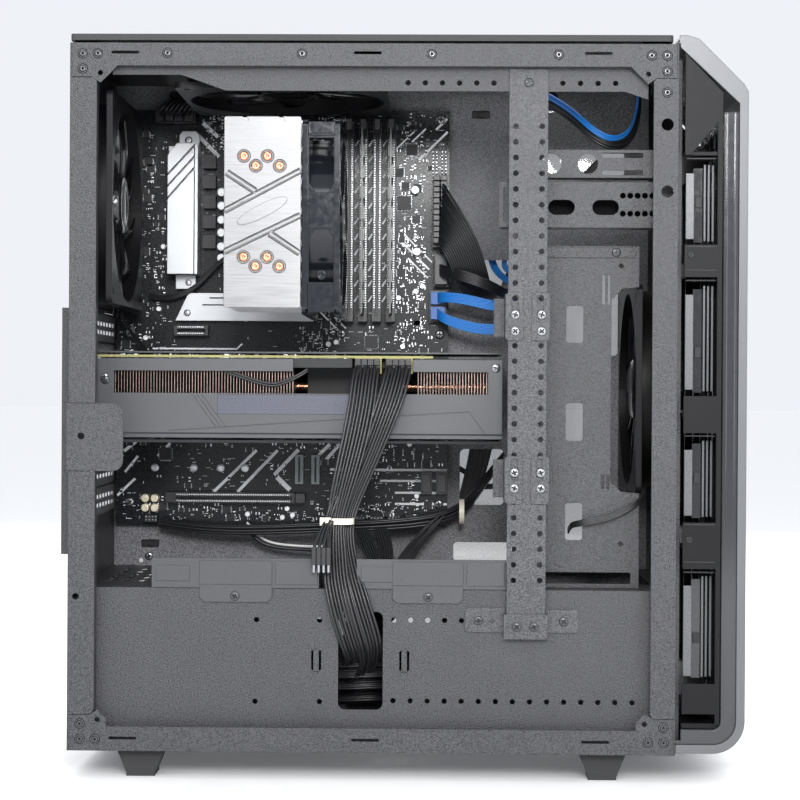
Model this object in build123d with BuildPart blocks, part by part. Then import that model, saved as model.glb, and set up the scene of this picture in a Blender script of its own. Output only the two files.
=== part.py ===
"""A mid-tower desktop computer with its open side towards -Y: case, board, cards, fans and leads.

Every place below is given in millimetres from the case's corner, the lower rear corner of its
open side: x runs forward, y runs into the case and z runs up. The part's own origin is on the
ground, under the middle of its outer box.
"""
from build123d import *
import os
from math import atan2, cos, degrees, hypot, pi, radians, sin

os.makedirs("parts", exist_ok=True)

# Case -----------------------------------------------------------------------------------------
frame_length = 395.0
frame_width = 212.0
frame_height = 460.5
sheet = 1.0
post_width = 17.5
foot_height = 18.0
slot_shield_depth = 13.0
front_x = 440.0
cover_gap = 0.3
cover_top = 466.3
glass_thickness = 4.0
knob_height = 3.0
rivet_height = 0.6
total_length = slot_shield_depth + front_x
total_width = rivet_height + frame_width + cover_gap + glass_thickness + knob_height

rear_x = slot_shield_depth - total_length / 2
open_y = rivet_height - total_width / 2
base_z = foot_height

screw_columns = (19.8, 375.2)
screw_rows = (20.2, 440.9)
panel_screw_radius = 1.65
rivet_radius = 3.4

# Fans -----------------------------------------------------------------------------------------
fan_size = 140.0
fan_depth = 25.0
fan_hole_spacing = 124.5
fan_bore = 66.5
fan_gap = 1.2
hub_radius = 20.0
rear_fan_centre = (81.0, 362.0)
top_fan_centre = (135.0, 91.0)
front_fan_centre = (112.5, 237.5)
front_plate_x = 397.6

# Board ----------------------------------------------------------------------------------------
board_face_y = 181.8
board_thickness = 1.6
tray_y = 190.0
board_rear_x = 3.6
board_front_x = 247.4
board_top_z = 440.6
board_bottom_z = 135.8
slot_pitch = 20.32
first_slot_z = 278.4
hole_columns = (board_rear_x + 10.16, board_rear_x + 165.1, board_rear_x + 237.49)
hole_rows = (board_top_z - 288.29, board_top_z - 163.83, board_top_z - 6.35)
dimm_columns = (174.5, 184.7, 194.9, 205.1)
dimm_bottom_z = 293.0
dimm_top_z = 421.6
dimm_height = 8.5
dimm_width = 6.6

# Processor cooler -----------------------------------------------------------------------------
cooler_x = (98.5, 149.2)
cooler_z = (289.6, 415.6)
cooler_top_y = 21.0
pipe_radius = 3.0
pipe_columns = (111.6, 127.1, 119.4, 135.2)
pipe_heights = (389.4, 389.4, 383.0, 383.0)
pipe_feet = (322.9, 322.9, 316.8, 316.8)
cpu_fan_x = (149.7, 174.7)
cpu_fan_y = (25.0, 145.0)
cpu_fan_z = (285.6, 414.6)

# Graphics card --------------------------------------------------------------------------------
card_x = (9.7, 283.4)
card_y = (50.0, 170.0)
card_z = (199.5, 256.2)
card_board_z = 257.3
card_fan_columns = (56.0, 147.0, 238.0)
card_fan_y = 110.0
card_fan_radius = 42.0

# Power supply ---------------------------------------------------------------------------------
supply_x = (1.3, 151.3)
supply_y = (31.0, 181.0)
supply_z = (1.3, 87.3)
supply_fan_centre = (76.0, 106.0)
shroud_y = 12.0
shroud_top_z = 105.4


# Placing --------------------------------------------------------------------------------------
def side_plane(depth):
    """A plane that faces the open side; its own axes run forward and up."""
    return Plane(origin=(rear_x, open_y + depth, base_z), x_dir=(1, 0, 0), z_dir=(0, -1, 0))


def level_plane(height):
    """A plane that faces up; its own axes run forward and into the case."""
    return Plane(origin=(rear_x, open_y, base_z + height), x_dir=(1, 0, 0), z_dir=(0, 0, 1))


def end_plane(length):
    """A plane that faces forward; its own axes run into the case and up."""
    return Plane(origin=(rear_x + length, open_y, base_z), x_dir=(0, 1, 0), z_dir=(1, 0, 0))


def case_point(x, y, z):
    return Vector(rear_x + x, open_y + y, base_z + z)


def block(x, y, z, mode=Mode.ADD):
    """A block that fills three ranges."""
    with Locations(case_point(x[0], y[0], z[0])):
        Box(x[1] - x[0], y[1] - y[0], z[1] - z[0], align=(Align.MIN,) * 3, mode=mode)


def rod(plane, centre, radius, length, mode=Mode.ADD):
    """A round bar that starts on a plane and runs along its normal."""
    with BuildSketch(plane) as section:
        with Locations(centre):
            Circle(radius)
    extrude(section.sketch, amount=length, mode=mode)


def rectangle(across, up, radius=0.0, mode=Mode.ADD):
    """In a sketch, a rectangle that fills two ranges."""
    width = across[1] - across[0]
    height = up[1] - up[0]
    with Locations(((across[0] + across[1]) / 2, (up[0] + up[1]) / 2)):
        if radius:
            RectangleRounded(width, height, radius, mode=mode)
        else:
            Rectangle(width, height, mode=mode)


def round_holes(points, radius):
    """In a sketch, a round hole at each point."""
    with Locations(*points):
        Circle(radius, mode=Mode.SUBTRACT)


def outline(points, mode=Mode.ADD):
    """In a sketch, a closed shape with straight sides."""
    Polygon(*points, align=None, mode=mode)


def row(start, end, height, count):
    """Points spread evenly along a level row."""
    step = (end - start) / (count - 1)
    return [(start + step * index, height) for index in range(count)]


def corners(centre, spacing_a, spacing_b=None):
    half_a = spacing_a / 2
    half_b = (spacing_b or spacing_a) / 2
    return [(centre[0] + a, centre[1] + b) for a in (-half_a, half_a) for b in (-half_b, half_b)]


def honeycomb(centre, reach, pitch):
    """Points of a honeycomb that lie within a circle."""
    points = []
    rows = int(reach / (pitch * cos(radians(30)))) + 1
    columns = int(reach / pitch) + 1
    for line in range(-rows, rows + 1):
        for column in range(-columns, columns + 1):
            across = (column + 0.5 * (line % 2)) * pitch
            up = line * pitch * cos(radians(30))
            if hypot(across, up) <= reach:
                points.append((centre[0] + across, centre[1] + up))
    return points


def honeycomb_holes(centre, reach, pitch, hole_radius):
    with Locations(*honeycomb(centre, reach, pitch)):
        RegularPolygon(hole_radius, 6, mode=Mode.SUBTRACT)


def save(piece, name):
    piece.part.label = name
    export_step(piece.part, f"parts/{name}.step")


# Case panels ----------------------------------------------------------------------------------
slot_rows = [first_slot_z - slot_pitch * index for index in range(7)]
bracket_ledge_y = 66.0
slot_y = (bracket_ledge_y + 8, 183.0)
io_y = (139.5, 184.0)
io_z = (289.6, 447.0)
flap_z = (182.0, 226.0)

with BuildPart() as chassis_rear_panel:
    with BuildSketch(end_plane(0)):
        rectangle((0, frame_width), (0, frame_height))
        honeycomb_holes(rear_fan_centre, 52.0, 11.0, 5.4)
        round_holes(corners(rear_fan_centre, fan_hole_spacing), 2.3)
        rectangle(io_y, io_z, mode=Mode.SUBTRACT)
        for level in slot_rows:
            rectangle(slot_y, (level - 7, level + 7), mode=Mode.SUBTRACT)
        rectangle((58, bracket_ledge_y), (142, 290), mode=Mode.SUBTRACT)
        rectangle((supply_y[0] + 6, supply_y[1] - 6), (supply_z[0] + 5, supply_z[1] - 5), mode=Mode.SUBTRACT)
        with Locations((30.0, 205.0)):
            with GridLocations(10.0, 9.0, 3, 13):
                SlotOverall(7.5, 4.5, mode=Mode.SUBTRACT)
        rectangle((-1, sheet + 0.3), (flap_z[0] - 0.3, flap_z[1] + 0.3), mode=Mode.SUBTRACT)
    extrude(amount=sheet)
    with BuildSketch(side_plane(0)):
        outline([(0, 23.6), (14.5, 23.6), (post_width, 26.5), (post_width, 436), (14.5, 438.0), (0, 438.0)])
        rectangle((-1, post_width + 1), (flap_z[0] - 0.3, flap_z[1] + 0.3), mode=Mode.SUBTRACT)
        round_holes([(5.2, 100.3)], 2.1)
    extrude(amount=-sheet)
    with BuildSketch(side_plane(frame_width)):
        rectangle((0, 15), (sheet, frame_height - sheet))
    extrude(amount=sheet)
    block((-11.5, 0), (bracket_ledge_y, bracket_ledge_y + sheet), (140, 292))
    block((post_width - sheet, post_width), (sheet, 9), (26.5, flap_z[0] - 3))
    block((post_width - sheet, post_width), (sheet, 9), (flap_z[1] + 3, 436))
save(chassis_rear_panel, "chassis_rear_panel")

second_top_fan = (281.0, 91.0)
flange_start = sheet + 0.1
flange_end = frame_length - sheet - 0.1
lip_fold_z = 445.6
lip_depth = 7.5
with BuildPart() as chassis_top_panel:
    with BuildSketch(level_plane(frame_height - sheet)):
        rectangle((flange_start, frame_length), (0, frame_width))
        for centre in (top_fan_centre, second_top_fan):
            round_holes([centre], 64.0)
            round_holes(corners(centre, fan_hole_spacing), 2.3)
        rectangle((366, 386), (60, 150), 4, mode=Mode.SUBTRACT)
    extrude(amount=sheet)
    with BuildSketch(side_plane(0)):
        outline(
            [
                (flange_start, frame_height),
                (flange_end, frame_height),
                (flange_end, 438.4),
                (381, 438.4),
                (375.2, 434.5),
                (369, 440.5),
                (364, lip_fold_z),
                (31, lip_fold_z),
                (26, 440.5),
                (19.8, 434.5),
                (14, 438.4),
                (flange_start, 438.4),
            ]
        )
        round_holes([(x, screw_rows[1]) for x in screw_columns], panel_screw_radius)
        for middle in (36.0, 193.6, 343.0):
            rectangle((middle - 9, middle + 9), (453.4, 455.2), 0.8, mode=Mode.SUBTRACT)
    extrude(amount=-sheet)
    block((31, 364), (sheet, lip_depth + sheet), (lip_fold_z, lip_fold_z + sheet))
    with BuildSketch(side_plane(lip_depth)):
        outline(
            [
                (26.5, lip_fold_z + sheet),
                (26.5, 440.8),
                (71.6, 440.8),
                (101, 430.5),
                (361, 430.5),
                (376, 425.5),
                (376, lip_fold_z + sheet),
            ]
        )
        round_holes(row(219.7, 275.6, 436.0, 6) + row(320.4, 354.7, 436.0, 4), 1.7)
    extrude(amount=-sheet)
    with BuildSketch(side_plane(frame_width)):
        rectangle((16, flange_end), (445, frame_height))
    extrude(amount=sheet)
save(chassis_top_panel, "chassis_top_panel")

filter_rail_y = (38.0, 176.0)
filter_z = (-3.4, -0.4)
with BuildPart() as chassis_bottom_panel:
    with BuildSketch(level_plane(0)):
        rectangle((flange_start, frame_length), (0, frame_width))
        honeycomb_holes(supply_fan_centre, 56.0, 11.0, 5.4)
        with Locations((275, 106)):
            with GridLocations(12, 26, 14, 5):
                SlotOverall(20, 4, rotation=90, mode=Mode.SUBTRACT)
    extrude(amount=sheet)
    with BuildSketch(side_plane(0)):
        outline(
            [
                (flange_start, 0),
                (flange_end, 0),
                (flange_end, 23.3),
                (381, 23.3),
                (375.2, 27),
                (369.5, 21),
                (369.5, 15.8),
                (25.6, 15.8),
                (25.6, 21),
                (19.8, 27),
                (14.5, 23.3),
                (flange_start, 23.3),
            ]
        )
        round_holes([(x, screw_rows[0]) for x in screw_columns], panel_screw_radius)
        for middle in (36.4, 194.3, 343.4):
            rectangle((middle - 9, middle + 9), (7.4, 9.2), 0.8, mode=Mode.SUBTRACT)
    extrude(amount=-sheet)
    with BuildSketch(side_plane(frame_width)):
        rectangle((16, flange_end), (0, 15.8))
    extrude(amount=sheet)
    for y, side in ((filter_rail_y[0], -1), (filter_rail_y[1], 1)):
        wall = sorted((y + side * 1.3, y + side * 0.3))
        foot = sorted((y + side * 1.3, y - side * 2.7))
        block((8, 160), wall, (filter_z[0] - 1.3, 0))
        block((8, 160), foot, (filter_z[0] - 1.3, filter_z[0] - 0.3))
save(chassis_bottom_panel, "chassis_bottom_panel")

front_openings = [(front_fan_centre[0], front_fan_centre[1] + 145.0 * step) for step in (-1, 0, 1)]
with BuildPart() as chassis_front_panel:
    with BuildSketch(end_plane(front_plate_x)):
        rectangle((12, 202), (6, 454), 3)
        for centre in front_openings:
            round_holes([centre], 64.0)
            round_holes(corners(centre, fan_hole_spacing), 2.3)
    extrude(amount=sheet)
    with BuildSketch(end_plane(frame_length - sheet)):
        rectangle((0, frame_width), (sheet + 0.1, frame_height - sheet - 0.1))
        rectangle((13, 201), (7, 453), 2, mode=Mode.SUBTRACT)
    extrude(amount=sheet)
    with BuildSketch(end_plane(frame_length - sheet)):
        rectangle((12, 202), (6, 454), 3)
        rectangle((13, 201), (7, 453), 2, mode=Mode.SUBTRACT)
    extrude(amount=front_plate_x - frame_length + 2 * sheet)
    with BuildSketch(side_plane(0)):
        outline(
            [
                (frame_length, 23.6),
                (380.5, 23.6),
                (378.8, 26),
                (378.8, 436),
                (380.5, 438.1),
                (frame_length, 438.1),
            ]
        )
        round_holes([(387.8, 408.5)], 3.9)
        round_holes([(388.0, 365.1)], 3.9)
    extrude(amount=-sheet)
    with BuildSketch(side_plane(frame_width)):
        rectangle((381, frame_length), (16, 444.8))
    extrude(amount=sheet)
save(chassis_front_panel, "chassis_front_panel")

standoff_height = tray_y - board_face_y - board_thickness
lead_hole = ((256.4, 289.1), (151.6, 192.7))
upper_lead_hole = ((268.0, 294.0), (306.0, 332.0))
with BuildPart() as motherboard_tray:
    with BuildSketch(side_plane(tray_y)):
        rectangle((1.2, 393.8), (shroud_top_z + 0.1, frame_height - sheet - 0.1))
        rectangle((173, 393.8), (sheet + 0.3, shroud_top_z + 1))
        rectangle((203, 240), (60, 102), 3, mode=Mode.SUBTRACT)
        rectangle(*lead_hole, radius=4, mode=Mode.SUBTRACT)
        rectangle(*upper_lead_hole, radius=3, mode=Mode.SUBTRACT)
        rectangle((60, 185), (300, 405), 8, mode=Mode.SUBTRACT)
        rectangle((252, 296), (110, 124), 3, mode=Mode.SUBTRACT)
        rectangle((40, 90), (444.5, 456), 3, mode=Mode.SUBTRACT)
        rectangle((300, 327), (441, 456), 3, mode=Mode.SUBTRACT)
        rectangle((314, 376), (394, 412), 3, mode=Mode.SUBTRACT)
        rectangle((326, 372), (262, 324), 3, mode=Mode.SUBTRACT)
        for low, high in ((192, 234), (119, 160)):
            rectangle((326, 355), (low, high), 3, mode=Mode.SUBTRACT)
        for x, z in ((263.8, 436), (21.0, 118.4)):
            rectangle((x, x + 13.5), (z, z + 6), 1, mode=Mode.SUBTRACT)
        round_holes([(21.1, 108.9)], 1.6)
    extrude(amount=-sheet)
    for x in hole_columns:
        for z in hole_rows:
            if (x, z) != (hole_columns[0], hole_rows[2]):
                rod(side_plane(tray_y), (x, z), 4.0, standoff_height)
save(motherboard_tray, "motherboard_tray")

window = ((176.0, 205.2), (26.4, 90.5))
with BuildPart() as psu_shroud:
    with BuildSketch(side_plane(shroud_y)):
        rectangle((1.2, 393.8), (sheet + 0.1, shroud_top_z))
        rectangle(*window, radius=4.5, mode=Mode.SUBTRACT)
        upper_row = [(122.3, 84.8), (163.7, 84.8)] + row(212.3, 256.6, 85.2, 5)
        lower_row = [(121.6, 31.2), (163.9, 31.4)] + row(212.1, 368.2, 32.4, 15)
        round_holes(upper_row + lower_row, 1.7)
        for x in (161.6, 219.3):
            rectangle((x - 3.2, x + 3.2), (52, 65), 1, mode=Mode.SUBTRACT)
    extrude(amount=-sheet)
    for x in (161.6, 219.3):
        block((x - 1.8, x + 1.8), (shroud_y - 1.5, shroud_y - 0.4), (51.5, 65.5))
        block((x - 1.8, x + 1.8), (shroud_y - 0.5, shroud_y + sheet), (51.0, 52.2))
        block((x - 1.8, x + 1.8), (shroud_y - 0.5, shroud_y + sheet), (64.8, 66.0))
    with BuildSketch(level_plane(shroud_top_z)):
        rectangle((1.2, 393.8), (shroud_y, tray_y - 0.1))
        with Locations((78, 112)):
            with GridLocations(11, 23, 12, 5):
                SlotOverall(18, 5, rotation=90, mode=Mode.SUBTRACT)
        rectangle((300, 385), (60, 170), 5, mode=Mode.SUBTRACT)
        rectangle((190, 222), (156, 173), 4, mode=Mode.SUBTRACT)
    extrude(amount=-sheet)
save(psu_shroud, "psu_shroud")

cover_spans = ((53.4, 163.2), (187.9, 285.5))
cover_panel = ((85.0, 132.3), (211.5, 257.4))
cover_top_z = 125.0
cover_base_z = shroud_top_z + 0.2
with BuildPart() as shroud_covers:
    for span, panel in zip(cover_spans, cover_panel):
        block(span, (shroud_y - 1.0, shroud_y + 0.5), (cover_base_z, cover_top_z))
        block(span, (shroud_y - 1.0, 75.0), (cover_base_z, cover_base_z + 1.5))
        block((span[0], span[0] + 1.5), (shroud_y, 75), (cover_base_z, cover_top_z - 6))
        block((span[1] - 1.5, span[1]), (shroud_y, 75), (cover_base_z, cover_top_z - 6))
        block((span[0] + 3, span[0] + 25), (shroud_y - 1.6, shroud_y), (110, 120))
        block(panel, (shroud_y - 2.0, shroud_y), (108, 123.2))
        block((panel[1] + 2.5, span[1] - 1), (shroud_y - 1.6, shroud_y), (108, 123.2))
        with BuildSketch(side_plane(shroud_y - 0.2)):
            outline(
                [
                    (panel[0], cover_base_z + 3),
                    (panel[0], shroud_top_z - 6),
                    (panel[0] + 3, shroud_top_z - 9),
                    (panel[1] - 3, shroud_top_z - 9),
                    (panel[1], shroud_top_z - 6),
                    (panel[1], cover_base_z + 3),
                ]
            )
        extrude(amount=1.2)
save(shroud_covers, "shroud_covers")

# Strut, rails and side plate ------------------------------------------------------------------
strut_x = (285.7, 311.0)
strut_y = 6.3
strut_z = (74.0, 445.4)
strut_hole_pitch = 10.19
with BuildPart() as support_strut:
    with BuildSketch(side_plane(strut_y)):
        rectangle(strut_x, strut_z)
        columns = (strut_x[0] + 4.4, strut_x[1] - 3.8)
        heights = [407.8 - strut_hole_pitch * index for index in range(30)]
        round_holes([(x, z) for x in columns for z in heights], 1.8)
    extrude(amount=-sheet)
    for x in (strut_x[0], strut_x[1] - sheet):
        block((x, x + sheet), (strut_y, strut_y + 4.5), (95, 428))
    block((283.9, 312.6), (strut_y - 1.2, strut_y), (74.0, 90.3))
    for x in (283.9, 311.6):
        block((x, x + sheet), (strut_y - 1.2, shroud_y - 0.1), (75.0, 90.3))
    with BuildSketch(side_plane(shroud_y - 0.1)):
        rectangle((258.7, 284.9), (77.7, 93.9), 3)
        rectangle((311.6, 333.1), (77.7, 93.0), 3)
        rectangle((278, 284.9), (77.7, 93.9))
        rectangle((311.6, 318), (77.7, 93.0))
        round_holes([(276.5, 85.4)], 1.6)
    extrude(amount=sheet)
save(support_strut, "support_strut")

bracket_spans = ((268.4, 299.7), (162.1, 193.2))
with BuildPart() as strut_brackets:
    for low, high in bracket_spans:
        for left, right in ((285.2, 295.6), (301.2, 312.2)):
            with BuildSketch(side_plane(strut_y)):
                rectangle((left, right), (low, high), 1)
                with Locations(((left + right) / 2, high - 9)):
                    SlotOverall(15, 4.4, rotation=90, mode=Mode.SUBTRACT)
            extrude(amount=sheet)
        block((283.9, 284.9), (strut_y - sheet, 32), (low + 1, high - 1))
        block((283.9, 285.7), (strut_y - sheet, strut_y), (low + 1, high - 1))
        block((277, 284.9), (31, 32), (low + 3, high - 3))
        block((311.8, 312.8), (strut_y - sheet, 12), (low + 1, high - 1))
save(strut_brackets, "strut_brackets")

upper_rail_z = (375.8, 394.3)
lower_rail_z = (343.1, 373.2)
rail_y = 20.0
rail_depth = 14.0
with BuildPart() as drive_rails:
    with BuildSketch(side_plane(rail_y)):
        rectangle((288, 393.7), upper_rail_z)
        round_holes([(337.8, 385.1), (314, 385.1)], 6.6)
        for z in (390.6, 379.2):
            rectangle((347, 374), (z - 1.6, z + 1.6), 1, mode=Mode.SUBTRACT)
    extrude(amount=-sheet)
    for z in upper_rail_z:
        edge = z if z == upper_rail_z[0] else z - sheet
        block((288, 393.7), (rail_y, rail_y + rail_depth), (edge, edge + sheet))
    with BuildSketch(side_plane(rail_y)):
        rectangle((279.5, 393.7), lower_rail_z, 2)
        rectangle((282.5, 286), (347, 369.5), 1.5, mode=Mode.SUBTRACT)
        for middle in (320.6, 349.6):
            with Locations((middle, 356.4)):
                SlotOverall(17.4, 9.8, mode=Mode.SUBTRACT)
        round_holes(row(360.9, 380.2, 364.2, 5) + row(360.9, 380.2, 352.4, 5), 1.9)
    extrude(amount=-sheet)
    for z in lower_rail_z:
        edge = z if z == lower_rail_z[0] else z - sheet
        block((281, 393.7), (rail_y, rail_y + rail_depth + 4), (edge, edge + sheet))
save(drive_rails, "drive_rails")

plate_y = 28.0
with BuildPart() as side_mount_plate:
    with BuildSketch(side_plane(plate_y)):
        outline(
            [
                (290, shroud_top_z + 0.2),
                (290, 331.6),
                (372.8, 331.6),
                (372.8, 304.5),
                (361.5, 303.5),
                (354.5, 296.0),
                (354.5, 176.0),
                (361.5, 169.5),
                (373.5, 168.5),
                (373.5, shroud_top_z + 0.2),
            ]
        )
        for low, high in ((267.6, 292.0), (202.9, 227.9), (137.4, 161.8)):
            rectangle((324.7, 336.1), (low, high), 2, mode=Mode.SUBTRACT)
        rectangle((300, 368), (108.5, 116.0), 1, mode=Mode.SUBTRACT)
        for low, high in ((293.0, 312.5), (170.8, 180.6)):
            rectangle((348.3, 350.3), (low, high), 0.9, mode=Mode.SUBTRACT)
            rectangle((352.0, 353.7), (low, high), 0.8, mode=Mode.SUBTRACT)
        round_holes([(360.9, 318.5), (361.4, 135.0)], 1.6)
    extrude(amount=-sheet)
    with BuildSketch(side_plane(plate_y)):
        rectangle((292, 370.5), (323.9, 330.6), 3)
    extrude(amount=0.9)
    block((290, 373.5), (plate_y, plate_y + 16), (shroud_top_z + 0.2, shroud_top_z + 1.2))
    block((290, 291), (plate_y, plate_y + 14), (shroud_top_z + 0.2, 331.6))
save(side_mount_plate, "side_mount_plate")

# Slot covers and their retention plate --------------------------------------------------------
shield_y = (48.5, 64.8)
shield_z = (124.0, 290.0)
with BuildPart() as slot_retention_plate:
    with BuildSketch(side_plane(0)):
        rectangle((-1.3, 35.8), flap_z, 7)
        rectangle((-1.3, 12.0), flap_z)
        round_holes([(8.3, 204.7)], 2.2)
    extrude(amount=-sheet)
    block((-1.3, -0.3), (0, shield_y[0] + sheet), flap_z)
    block((-13, -0.3), (shield_y[0], shield_y[0] + sheet), shield_z)
    block((-13, -12), shield_y, shield_z)
    for z in (shield_z[0], shield_z[1] - sheet):
        block((-13, -0.3), shield_y, (z, z + sheet))
save(slot_retention_plate, "slot_retention_plate")

covered_slots = [slot_rows[index] for index in (0, 3, 4, 5, 6)]
bracket_x = (1.1, 2.0)
tab_y = (65.1, 65.9)


def slot_bracket(low, high):
    """A bracket plate behind the slots, with its screw tab bent out over the ledge."""
    block(bracket_x, (tab_y[0], 188), (low, high))
    block((-11.2, bracket_x[1]), tab_y, (low + 0.6, high - 0.6))


with BuildPart() as slot_covers:
    for level in covered_slots:
        slot_bracket(level - 9.4, level + 9.4)
    with BuildSketch(end_plane(bracket_x[0])) as vents:
        for level in covered_slots:
            with Locations((128, level)):
                with GridLocations(13, 6, 8, 2):
                    SlotOverall(10, 3)
    extrude(vents.sketch, amount=sheet, mode=Mode.SUBTRACT)
save(slot_covers, "slot_covers")

# Fasteners ------------------------------------------------------------------------------------
corner_rivets = [
    (8.1, 453.4),
    (18.0, 453.5),
    (8.2, 443.5),
    (377.4, 453.0),
    (387.4, 453.0),
    (387.5, 442.8),
    (387.6, 429.1),
    (8.3, 17.5),
    (8.4, 7.6),
    (18.3, 7.5),
    (387.6, 18.0),
    (377.6, 8.4),
    (387.7, 8.4),
]
rail_rivets = [(63.3, 453.8), (150.8, 453.6), (235.1, 453.6), (317.3, 453.4)]
with BuildPart() as rivets:
    for place in corner_rivets + rail_rivets:
        rod(side_plane(0), place, rivet_radius, rivet_height)
save(rivets, "rivets")

near_screws = {
    strut_y: [(298.3, 436.2)],
    strut_y - 1.2: [(292.4, 82.2), (303.6, 82.2)],
    strut_y - 1.0: [(x, z) for x in (290.3, 307.5) for z in (285.3, 274.6, 182.5, 172.3)],
    shroud_y - 1.1: [(267.6, 85.4), (323.2, 85.2)],
    shroud_y - 1.4: [(108.1, 100.3), (234.6, 100.3)],
    plate_y - 0.9: [(357.4, 327.4)],
    card_y[0]: [(16.1, 241.7), (279.0, 250.9)],
    tray_y: [(27.0, 112.0)],
}
screw_head_radius = 3.0
rear_screws = corners(rear_fan_centre, fan_hole_spacing) + [(39, 8), (39, 81), (172, 81), (172, 8)]
with BuildPart() as screws:
    for depth, places in near_screws.items():
        for place in places:
            rod(side_plane(depth), place, screw_head_radius, 1.4)
    for x in hole_columns:
        for z in hole_rows:
            if (x, z) != (hole_columns[0], hole_rows[2]):
                rod(side_plane(board_face_y), (x, z), 3.4, 1.8)
    for place in rear_screws:
        rod(end_plane(0), place, 3.2, -1.4)
    for level in slot_rows:
        rod(side_plane(tab_y[0]), (-6.0, level), 3.2, 2.4)
    for place in corners(top_fan_centre, fan_hole_spacing):
        rod(level_plane(frame_height), place, 2.6, 0.2)
save(screws, "screws")

# Feet, dust filters and right side panel ------------------------------------------------------
with BuildPart() as feet:
    for middle in (46.8, 348.8):
        for start in (10.0, 202.0):
            with BuildSketch(side_plane(start)):
                outline(
                    [
                        (middle - 15.8, 0),
                        (middle + 15.8, 0),
                        (middle + 9.2, 2 - foot_height),
                        (middle + 9.2, -foot_height),
                        (middle - 9.2, -foot_height),
                        (middle - 9.2, 2 - foot_height),
                    ]
                )
            extrude(amount=-24 if start < 100 else 24)
save(feet, "feet")

rim_z = 462.2
with BuildPart() as top_filter:
    with BuildSketch(level_plane(cover_top)):
        rectangle((0.2, 391.5), (0.3, frame_width - 0.3), 3)
        with Locations((196, frame_width / 2)):
            with GridLocations(11, 27, 32, 6):
                Rectangle(6.5, 23, mode=Mode.SUBTRACT)
    extrude(amount=-1.5)
    with BuildSketch(level_plane(rim_z)):
        rectangle((0.2, 391.5), (0.3, frame_width - 0.3), 3)
        rectangle((2.2, 389.5), (2.3, frame_width - 2.3), 2, mode=Mode.SUBTRACT)
    extrude(amount=cover_top - rim_z)
    for x in (20, 360):
        for y in (6, frame_width - 14):
            block((x, x + 12), (y, y + 8), (frame_height + 0.3, cover_top - 1))
save(top_filter, "top_filter")

with BuildPart() as psu_filter:
    with BuildSketch(level_plane(filter_z[0])):
        rectangle((9, 164), (filter_rail_y[0] + 0.3, filter_rail_y[1] - 0.3))
        with Locations((86, 107)):
            with GridLocations(7.5, 41, 19, 3):
                Rectangle(4.5, 38, mode=Mode.SUBTRACT)
    extrude(amount=filter_z[1] - filter_z[0])
    block((1, 9.5), (88, 126), filter_z)
    block((1, 2.5), (88, 126), (filter_z[0] - 3, filter_z[1]))
save(psu_filter, "psu_filter")

glass_y = frame_width + cover_gap
with BuildPart() as right_side_panel:
    with BuildSketch(side_plane(glass_y)):
        rectangle((0.3, 394.7), (0.5, 460), 4)
        round_holes([(x, z) for x in screw_columns for z in screw_rows], 4.2)
    extrude(amount=-glass_thickness)
save(right_side_panel, "right_side_panel")

with BuildPart() as panel_thumbscrews:
    for x in screw_columns:
        for z in screw_rows:
            rod(side_plane(glass_y + glass_thickness), (x, z), 8.0, -knob_height)
            rod(side_plane(glass_y), (x, z), 3.5, -glass_thickness - 1)
save(panel_thumbscrews, "panel_thumbscrews")

# Fans -----------------------------------------------------------------------------------------
axle_radius = 3.0
axle_clearance = 0.06
mount_depth = 3.0


def fan_frame(plane, width, height, depth, bore, spacing, mount=(0.0, mount_depth)):
    """Two square flanges joined by a round duct, with a motor mount and its axle on four arms."""
    for level in (0.0, depth - 4.0):
        with BuildSketch(plane.offset(level)) as flange:
            RectangleRounded(width, height, 5)
            Circle(bore, mode=Mode.SUBTRACT)
            with GridLocations(spacing, spacing, 2, 2):
                Circle(2.2, mode=Mode.SUBTRACT)
        extrude(flange.sketch, amount=4.0)
    with BuildSketch(plane) as duct:
        Circle(bore + 2.0)
        Circle(bore, mode=Mode.SUBTRACT)
    extrude(duct.sketch, amount=depth)
    with BuildSketch(plane.offset(mount[0])) as arms:
        Circle(hub_radius)
        for turn in (20, 110):
            Rectangle(2 * bore + 2, 5, rotation=turn)
    extrude(arms.sketch, amount=mount[1] - mount[0])
    rod(plane.offset(mount[1] - 0.5), (0, 0), axle_radius, depth - mount[1] - 5.0)


def fan_rotor(plane, radius, hub, start, end, blades, tilt=34.0):
    """A hub with a bore for its axle and tilted blades."""
    rod(plane.offset(start), (0, 0), hub, end - start)
    rod(plane.offset(start - 1), (0, 0), axle_radius + axle_clearance, end - start - 1, Mode.SUBTRACT)
    chord = 2.0 * (end - start - 2.0) / 2.0 / sin(radians(tilt))
    middle = plane.offset((start + end) / 2).origin
    axis = plane.z_dir
    for index in range(blades):
        turn = 2 * pi * index / blades
        outward = plane.x_dir * cos(turn) + plane.y_dir * sin(turn)
        across = axis.cross(outward) * cos(radians(tilt)) + axis * sin(radians(tilt))
        blade_plane = Plane(origin=middle, x_dir=outward, z_dir=outward.cross(across))
        reach = (radius**2 - (chord / 2 * cos(radians(tilt))) ** 2) ** 0.5
        with BuildSketch(blade_plane) as blade:
            outline(
                [
                    (hub - 2, -chord * 0.32),
                    (reach, -chord / 2),
                    (radius, 0),
                    (reach, chord / 2),
                    (hub - 2, chord * 0.32),
                ]
            )
        extrude(blade.sketch, amount=0.7, both=True)


def facing(plane, centre):
    """The same plane with its origin moved to a point on it."""
    return Plane(origin=plane.from_local_coords(centre), x_dir=plane.x_dir, z_dir=plane.z_dir)


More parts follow.
